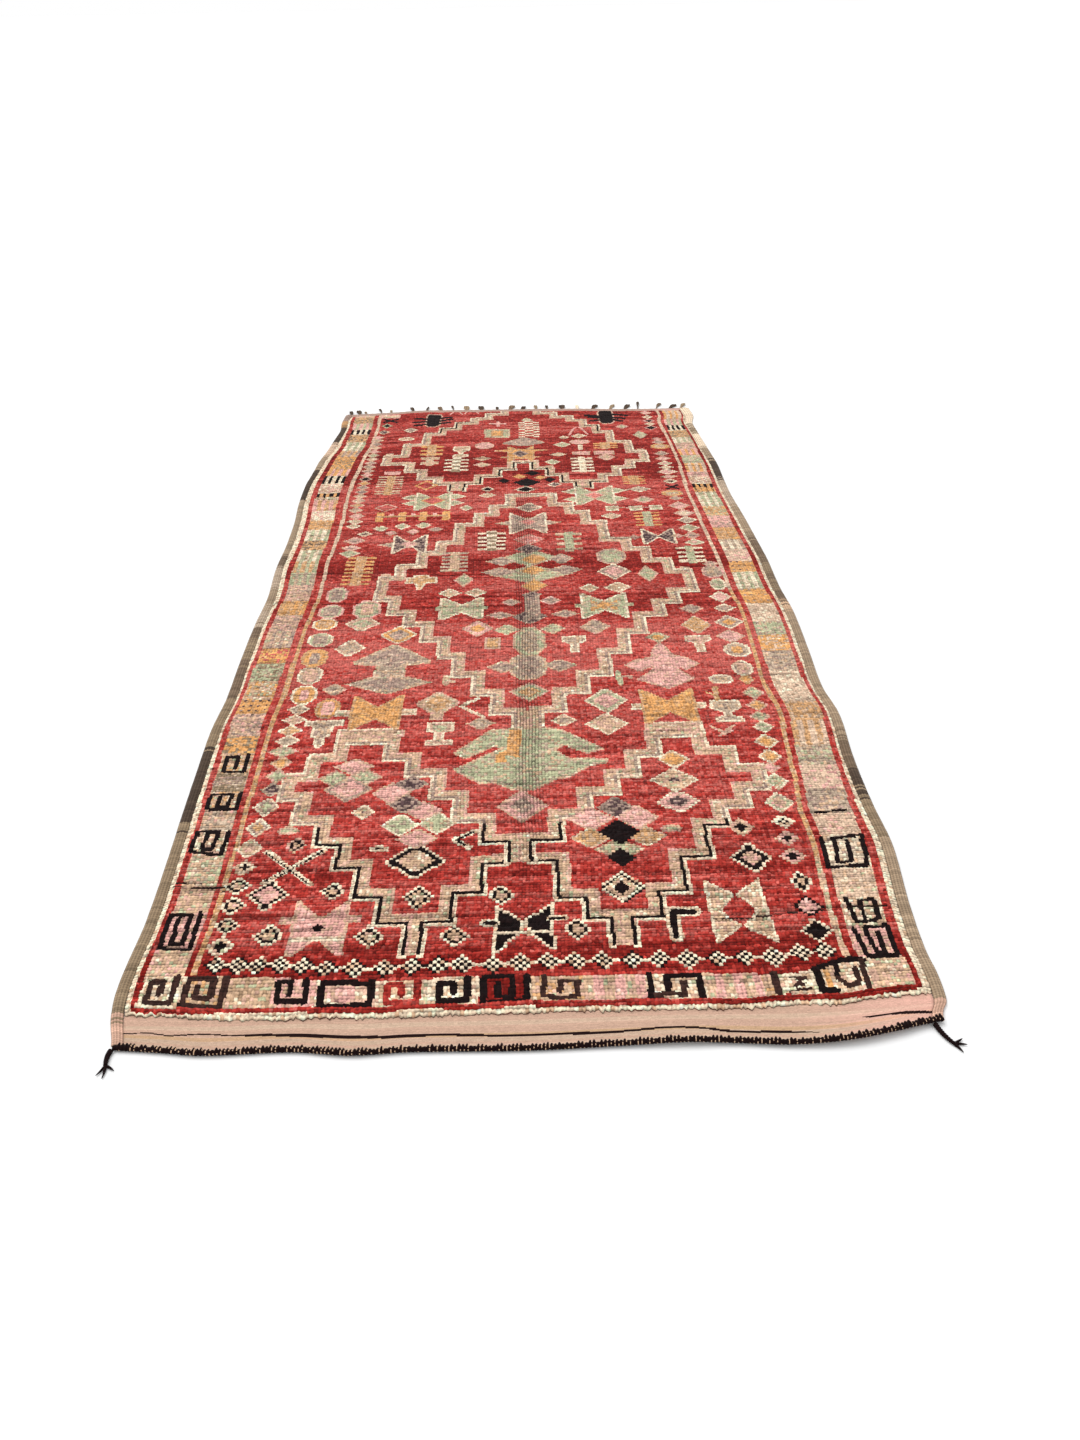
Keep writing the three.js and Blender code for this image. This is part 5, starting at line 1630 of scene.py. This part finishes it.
class RUG_OT_overcast_sides(bpy.types.Operator):
    """Overcast the two long sides with goat hair"""

    bl_idname = "rug.overcast_sides"
    bl_label = "Side bindings"

    def execute(self, context):
        wool = wool_material("goat_hair")
        for side, table, name, node in ((1, LEFT_HAIR, "left_overcast", "left_binding"),
                                        (2, RIGHT_HAIR, "right_overcast", "right_binding")):
            bind_side(context.scene.rug_sizes, side, table, name, node, wool)
        return {"FINISHED"}


# The edging: inset of its ends, its turns, longest tooth, pressing, pale stitches, shade
EDGING_INSET = 10
TURN_STEPS = 4
TURN_FULLNESS = 0.9
TURN_UNEVENNESS = 0.12
EDGING_TOOTH = 6.0
EDGING_PRESS = 0.94
PALE_STITCHES = 0.35
TURN_SHADE = 0.6

# How much of a tooth each point round the edging takes, from the outer side over the top
TOOTH_SHARES = (0, 0, 0, 0.3, 0.9, 1, 0, 0, 0, 0)


def wrap_edge(sizes):
    """A round core along the near edge; each turn of the yarn is full in its middle, reaches a
    little way over the weave, and a pale stitch shows between some turns."""
    left = NEAR_EDGE[0][0] + EDGING_INSET
    right = NEAR_EDGE[-1][0] - EDGING_INSET
    turns = int((right - left) * MM / sizes.stitch_pitch)
    across = np.linspace(left, right, TURN_STEPS * turns + 1)
    phase = np.arange(len(across)) % TURN_STEPS
    swell = np.sin(np.pi * phase / TURN_STEPS)
    along = smooth_table(NEAR_EDGE, 1, across)
    height = EDGING_RADIUS + smooth_table(NEAR_EDGE, 2, across)
    path = to_frame(across, along, height)
    rng = np.random.default_rng(SEED + 8)
    radius = EDGING_RADIUS - TURN_FULLNESS + TURN_FULLNESS * swell
    radius = (radius + rng.normal(0, TURN_UNEVENNESS, len(across))) * MM
    tooth = np.repeat(rng.uniform(0, EDGING_TOOTH, turns), TURN_STEPS) * swell[:-1] * MM
    tooth = np.append(tooth, 0)[:, None] * np.array(TOOTH_SHARES)
    rings = round_rings(path, radius[:, None] + tooth, len(TOOTH_SHARES), EDGING_PRESS)
    points, quads, caps = closed_tube(rings)
    piece = new_mesh("wrapped_edging", points, quads, caps)
    between = np.repeat(phase[:-1] == TURN_STEPS - 1, rings.shape[1])
    pale = between & (rng.random(len(quads)) < PALE_STITCHES)
    colours = np.where(pale[:, None], yarn_light("tan"), yarn_light("black"))
    ends = np.tile(yarn_light("black"), (len(caps), 1))
    shade = np.repeat(np.where(phase == 0, TURN_SHADE, 0), rings.shape[1])
    paint(piece, np.concatenate((colours, ends)), shade)
    wool = wool_material("black_wool")
    finish_piece(piece, wool, "black_wool", "near_edging")


class RUG_OT_wrap_edging(bpy.types.Operator):
    """Wrap the near edge with black wool"""

    bl_idname = "rug.wrap_edging"
    bl_label = "Near edging"

    def execute(self, context):
        wrap_edge(context.scene.rug_sizes)
        return {"FINISHED"}


def tie_tassel(name, node, cord, tips, wool):
    """A plaited cord from the edge and its loose strands, each a tube that thins to its tip."""
    shapes = [bent_strand(cord, TASSEL_GIRTH, TASSEL_THICK, CORD_TIP)]
    for tip in tips:
        middle = np.add(cord[-1], tip) / 2 + STRAND_BEND
        shapes.append(bent_strand((cord[-1], middle, tip), STRAND_GIRTH, STRAND_GIRTH, STRAND_TIP))
    points, quads, caps = join_shapes(shapes)
    piece = new_mesh(name, points, quads, caps)
    colours = np.tile(yarn_light("black"), (len(piece.data.polygons), 1))
    paint(piece, colours, 0.0)
    finish_piece(piece, wool, "black_wool", node)


def bent_strand(points, girth, thick, end):
    """A bent tube through three points, by the parabola that starts at the first, leans to the
    middle one and stops at the last, with ripples of the ply."""
    first, middle, last = (np.array(point, float) for point in points)
    t = np.linspace(0, 1, STRAND_STATIONS)[:, None]
    curve = first * (1 - t) ** 2 + 2 * middle * t * (1 - t) + last * t**2
    path = to_frame(curve[:, 0], curve[:, 1], thick / 2 * (1 + PLY_RIPPLE))
    ply = 1 + PLY_RIPPLE * np.sin(t[:, 0] * PLY_TURNS)
    radius = girth / 2 * (1 - (1 - end) * t[:, 0] ** 2) * ply * MM
    return closed_tube(round_rings(path, radius, STRAND_AROUND, thick / girth))


class RUG_OT_knot_tassels(bpy.types.Operator):
    """Tie the two small tassels where the edging ends"""

    bl_idname = "rug.knot_tassels"
    bl_label = "Corner tassels"

    def execute(self, context):
        wool = wool_material("tassel_wool")
        for name, node, (cord, tips) in (("left_tassel", "near_left_tassel", LEFT_TASSEL),
                                         ("right_tassel", "near_right_tassel", RIGHT_TASSEL)):
            tie_tassel(name, node, cord, tips, wool)
        return {"FINISHED"}


# A lock's strands: offsets in shares of the girth, light, steps, sway, lean, reach, thickness
STRAND_OFFSETS = (-0.28, 0.05, 0.3)
LOCK_LIGHT = (0.95, 0.1)
LOCK_STATIONS = 16
LOCK_AROUND = 7
LOCK_SWAY = 1.2
SWAY_WAVES = (1, 2.2)
LEAN_POWER = 1.4
LOCK_STARTS = 1
LOCK_REACH = (0.9, 1.0)
LOCK_SHARE = 0.5
PRESS_LIMITS = (0.3, 1)
LEAST_RADIUS = 0.1
LEAST_HEIGHT = 1

# The strip that the locks come out of: steps, place, radius, ripple and twist, pressing
ROOT_INSET = 8
ROOT_STATIONS = 300
ROOT_AROUND = 8
ROOT_PAST_EDGE = 3.2
ROOT_HEIGHT = 2.6
ROOT_RADIUS = 2.4
ROOT_RIPPLE = 0.4
ROOT_TWIST = 6
ROOT_PRESS = 0.9


def face_count(shape):
    """How many faces a shape has, its caps among them."""
    return len(shape[1]) + len(shape[2])


def root_strip():
    """The twisted strip along the far end that the locks come out of."""
    across = np.linspace(FAR_EDGE[0][0] + ROOT_INSET, FAR_EDGE[-1][0] - ROOT_INSET, ROOT_STATIONS)
    along = smooth_table(FAR_EDGE, 1, across) + ROOT_PAST_EDGE
    path = to_frame(across, along, ROOT_HEIGHT)
    radius = (ROOT_RADIUS + ROOT_RIPPLE * np.sin(across / ROOT_TWIST * 2 * np.pi)) * MM
    return closed_tube(round_rings(path, radius, ROOT_AROUND, ROOT_PRESS))


def lock_strand(lock, offset, rng):
    """One strand of a lock: it runs out from the edge, leans, swells and thins to its tip by the
    lock's profile, and sways a little."""
    across, lean, reach, girth = lock
    share = np.linspace(0, 1, LOCK_STATIONS)
    places, girths, heights = np.array(LOCK_PROFILE).T
    swell = np.interp(share, places, girths)
    high = np.interp(share, places, heights) * LOCK_SHARE
    sway = rng.normal(0, LOCK_SWAY) * np.sin(share * np.pi * rng.uniform(*SWAY_WAVES))
    x = across + lean * share**LEAN_POWER + offset * girth * swell + sway
    y = smooth_table(FAR_EDGE, 1, across) + LOCK_STARTS + reach * share * rng.uniform(*LOCK_REACH)
    radius = swell * girth / 2 * LOCK_SHARE
    path = to_frame(x, y, np.maximum(high, LEAST_HEIGHT))
    flat = np.clip(high / np.maximum(radius, LEAST_RADIUS), *PRESS_LIMITS)
    rings = round_rings(path, radius * MM, LOCK_AROUND)
    middle = path[:, None, 2]
    rings[:, :, 2] = np.maximum(middle + (rings[:, :, 2] - middle) * flat[:, None], 0)
    return closed_tube(rings)


class RUG_OT_comb_fringe(bpy.types.Operator):
    """Comb out the locks of warp ends at the far end"""

    bl_idname = "rug.comb_fringe"
    bl_label = "Far fringe"

    def execute(self, context):
        shapes = [root_strip()]
        tones = [np.tile(yarn_light("grey"), (face_count(shapes[0]), 1))]
        rng = np.random.default_rng(SEED + 12)
        for index, lock in enumerate(LOCKS):
            yarn = "cream" if index == CREAM_LOCK else LOCK_YARNS[index % len(LOCK_YARNS)]
            for offset in STRAND_OFFSETS:
                shapes.append(lock_strand(lock, offset, rng))
                colour = yarn_light(yarn) * rng.normal(*LOCK_LIGHT)
                tones.append(np.tile(colour, (face_count(shapes[-1]), 1)))
        points, quads, caps = join_shapes(shapes)
        piece = new_mesh("fringe", points, quads, caps)
        quad_tones = [tone[:len(shape[1])] for tone, shape in zip(tones, shapes)]
        cap_tones = [tone[len(shape[1]):] for tone, shape in zip(tones, shapes)]
        paint(piece, np.concatenate(quad_tones + cap_tones), 0.0)
        wool = wool_material("fringe_wool")
        finish_piece(piece, wool, "fringe_wool", "far_fringe")
        return {"FINISHED"}


FLOOR_SIDE = 3000.0
FLOOR_COLOUR = (0.82, 0.82, 0.82, 1)
FLOOR_ROUGHNESS = 0.9
FLOOR_SHINE = 0.1
SURROUND_STRENGTH = 1.0
SOFT_LIGHT_STRENGTH = 1.62
SOFT_LIGHT_SPREAD = 0.9
SOFT_LIGHT_TILT = (-0.5, -0.45, 0)
CAMERA_PLACE = (0.0161, -1.6672, 1.5301)
CAMERA_PITCH = 0.5188
CAMERA_YAW = 0.0091
CAMERA_ROLL = -0.0191
CAMERA_LENS = 31.25
CAMERA_SENSOR = 36


def lay_floor():
    """A level square of pale matt floor."""
    half = FLOOR_SIDE / 2
    side = np.array((-half, half))
    points = np.array([(x, y, 0.0) for y in side for x in side])
    piece = new_mesh("floor", points, np.array(((0, 1, 3, 2),)))
    material = bpy.data.materials.new("pale_floor")
    material.use_nodes = True
    shader = material.node_tree.nodes["Principled BSDF"]
    set_sockets(shader, {"Base Color": FLOOR_COLOUR, "Roughness": FLOOR_ROUGHNESS,
                         "Specular IOR Level": FLOOR_SHINE})
    piece.data.materials.append(material)


def set_lights(context):
    """An even white surround and one wide soft light from above, behind and to the left."""
    world = bpy.data.worlds.new("studio")
    world.use_nodes = True
    surround = world.node_tree.nodes["Background"]
    set_sockets(surround, {"Color": (1, 1, 1, 1), "Strength": SURROUND_STRENGTH})
    context.scene.world = world
    lamp = bpy.data.lights.new("soft_light", "SUN")
    lamp.energy = SOFT_LIGHT_STRENGTH
    lamp.angle = SOFT_LIGHT_SPREAD
    soft = bpy.data.objects.new("soft_light", lamp)
    soft.rotation_euler = SOFT_LIGHT_TILT
    context.scene.collection.objects.link(soft)
    context.scene.view_settings.view_transform = "Standard"


def set_camera(context):
    """The photograph's own camera, standing at the near end and looking down the rug."""
    lens = bpy.data.cameras.new("camera")
    lens.lens = CAMERA_LENS
    lens.sensor_width = CAMERA_SENSOR
    lens.sensor_fit = "AUTO"
    lens.clip_end = 2 * FLOOR_SIDE
    eye = bpy.data.objects.new("camera", lens)
    level = np.cos(CAMERA_PITCH)
    ahead = Vector((np.sin(CAMERA_YAW) * level, np.cos(CAMERA_YAW) * level, -np.sin(CAMERA_PITCH)))
    right = Vector((np.cos(CAMERA_YAW), -np.sin(CAMERA_YAW), 0))
    up = right.cross(ahead)
    turned_right = right * np.cos(CAMERA_ROLL) + up * np.sin(CAMERA_ROLL)
    turned_up = up * np.cos(CAMERA_ROLL) - right * np.sin(CAMERA_ROLL)
    turn = Matrix((turned_right, turned_up, -ahead)).transposed().to_4x4()
    place = Vector(CAMERA_PLACE) + Vector((SHIFT_ACROSS, SHIFT_ALONG, 0))
    eye.matrix_world = Matrix.Translation(place) @ turn
    context.scene.collection.objects.link(eye)
    context.scene.camera = eye


class RUG_OT_set_stage(bpy.types.Operator):
    """Lay the pale floor, and set the lights and the camera"""

    bl_idname = "rug.set_stage"
    bl_label = "Stage"

    def execute(self, context):
        lay_floor()
        set_lights(context)
        set_camera(context)
        return {"FINISHED"}


class RUG_PT_pieces(bpy.types.Panel):
    """Pieces of the rug, in the order they are made"""

    bl_idname = "RUG_PT_pieces"
    bl_label = "Berber runner rug"
    bl_space_type = "VIEW_3D"
    bl_region_type = "UI"
    bl_category = "Rug"

    def draw(self, context):
        for operator in OPERATORS:
            self.layout.operator(operator.bl_idname)
        for yarn in YARNS:
            self.layout.prop(context.scene.rug_yarns, yarn)
        for size in RugSizes.__annotations__:
            self.layout.prop(context.scene.rug_sizes, size)


OPERATORS = (RUG_OT_weave_ground, RUG_OT_tie_pile, RUG_OT_overcast_sides, RUG_OT_wrap_edging,
             RUG_OT_knot_tassels, RUG_OT_comb_fringe, RUG_OT_set_stage)
CLASSES = (YarnColours, RugSizes) + OPERATORS + (RUG_PT_pieces,)


def register():
    for rug_class in CLASSES:
        bpy.utils.register_class(rug_class)
    bpy.types.Scene.rug_yarns = PointerProperty(type=YarnColours)
    bpy.types.Scene.rug_sizes = PointerProperty(type=RugSizes)


def unregister():
    del bpy.types.Scene.rug_sizes
    del bpy.types.Scene.rug_yarns
    for rug_class in reversed(CLASSES):
        bpy.utils.unregister_class(rug_class)


def main():
    register()
    for operator in OPERATORS:
        group, name = operator.bl_idname.split(".")
        getattr(getattr(bpy.ops, group), name)()


if __name__ == "__main__":
    main()
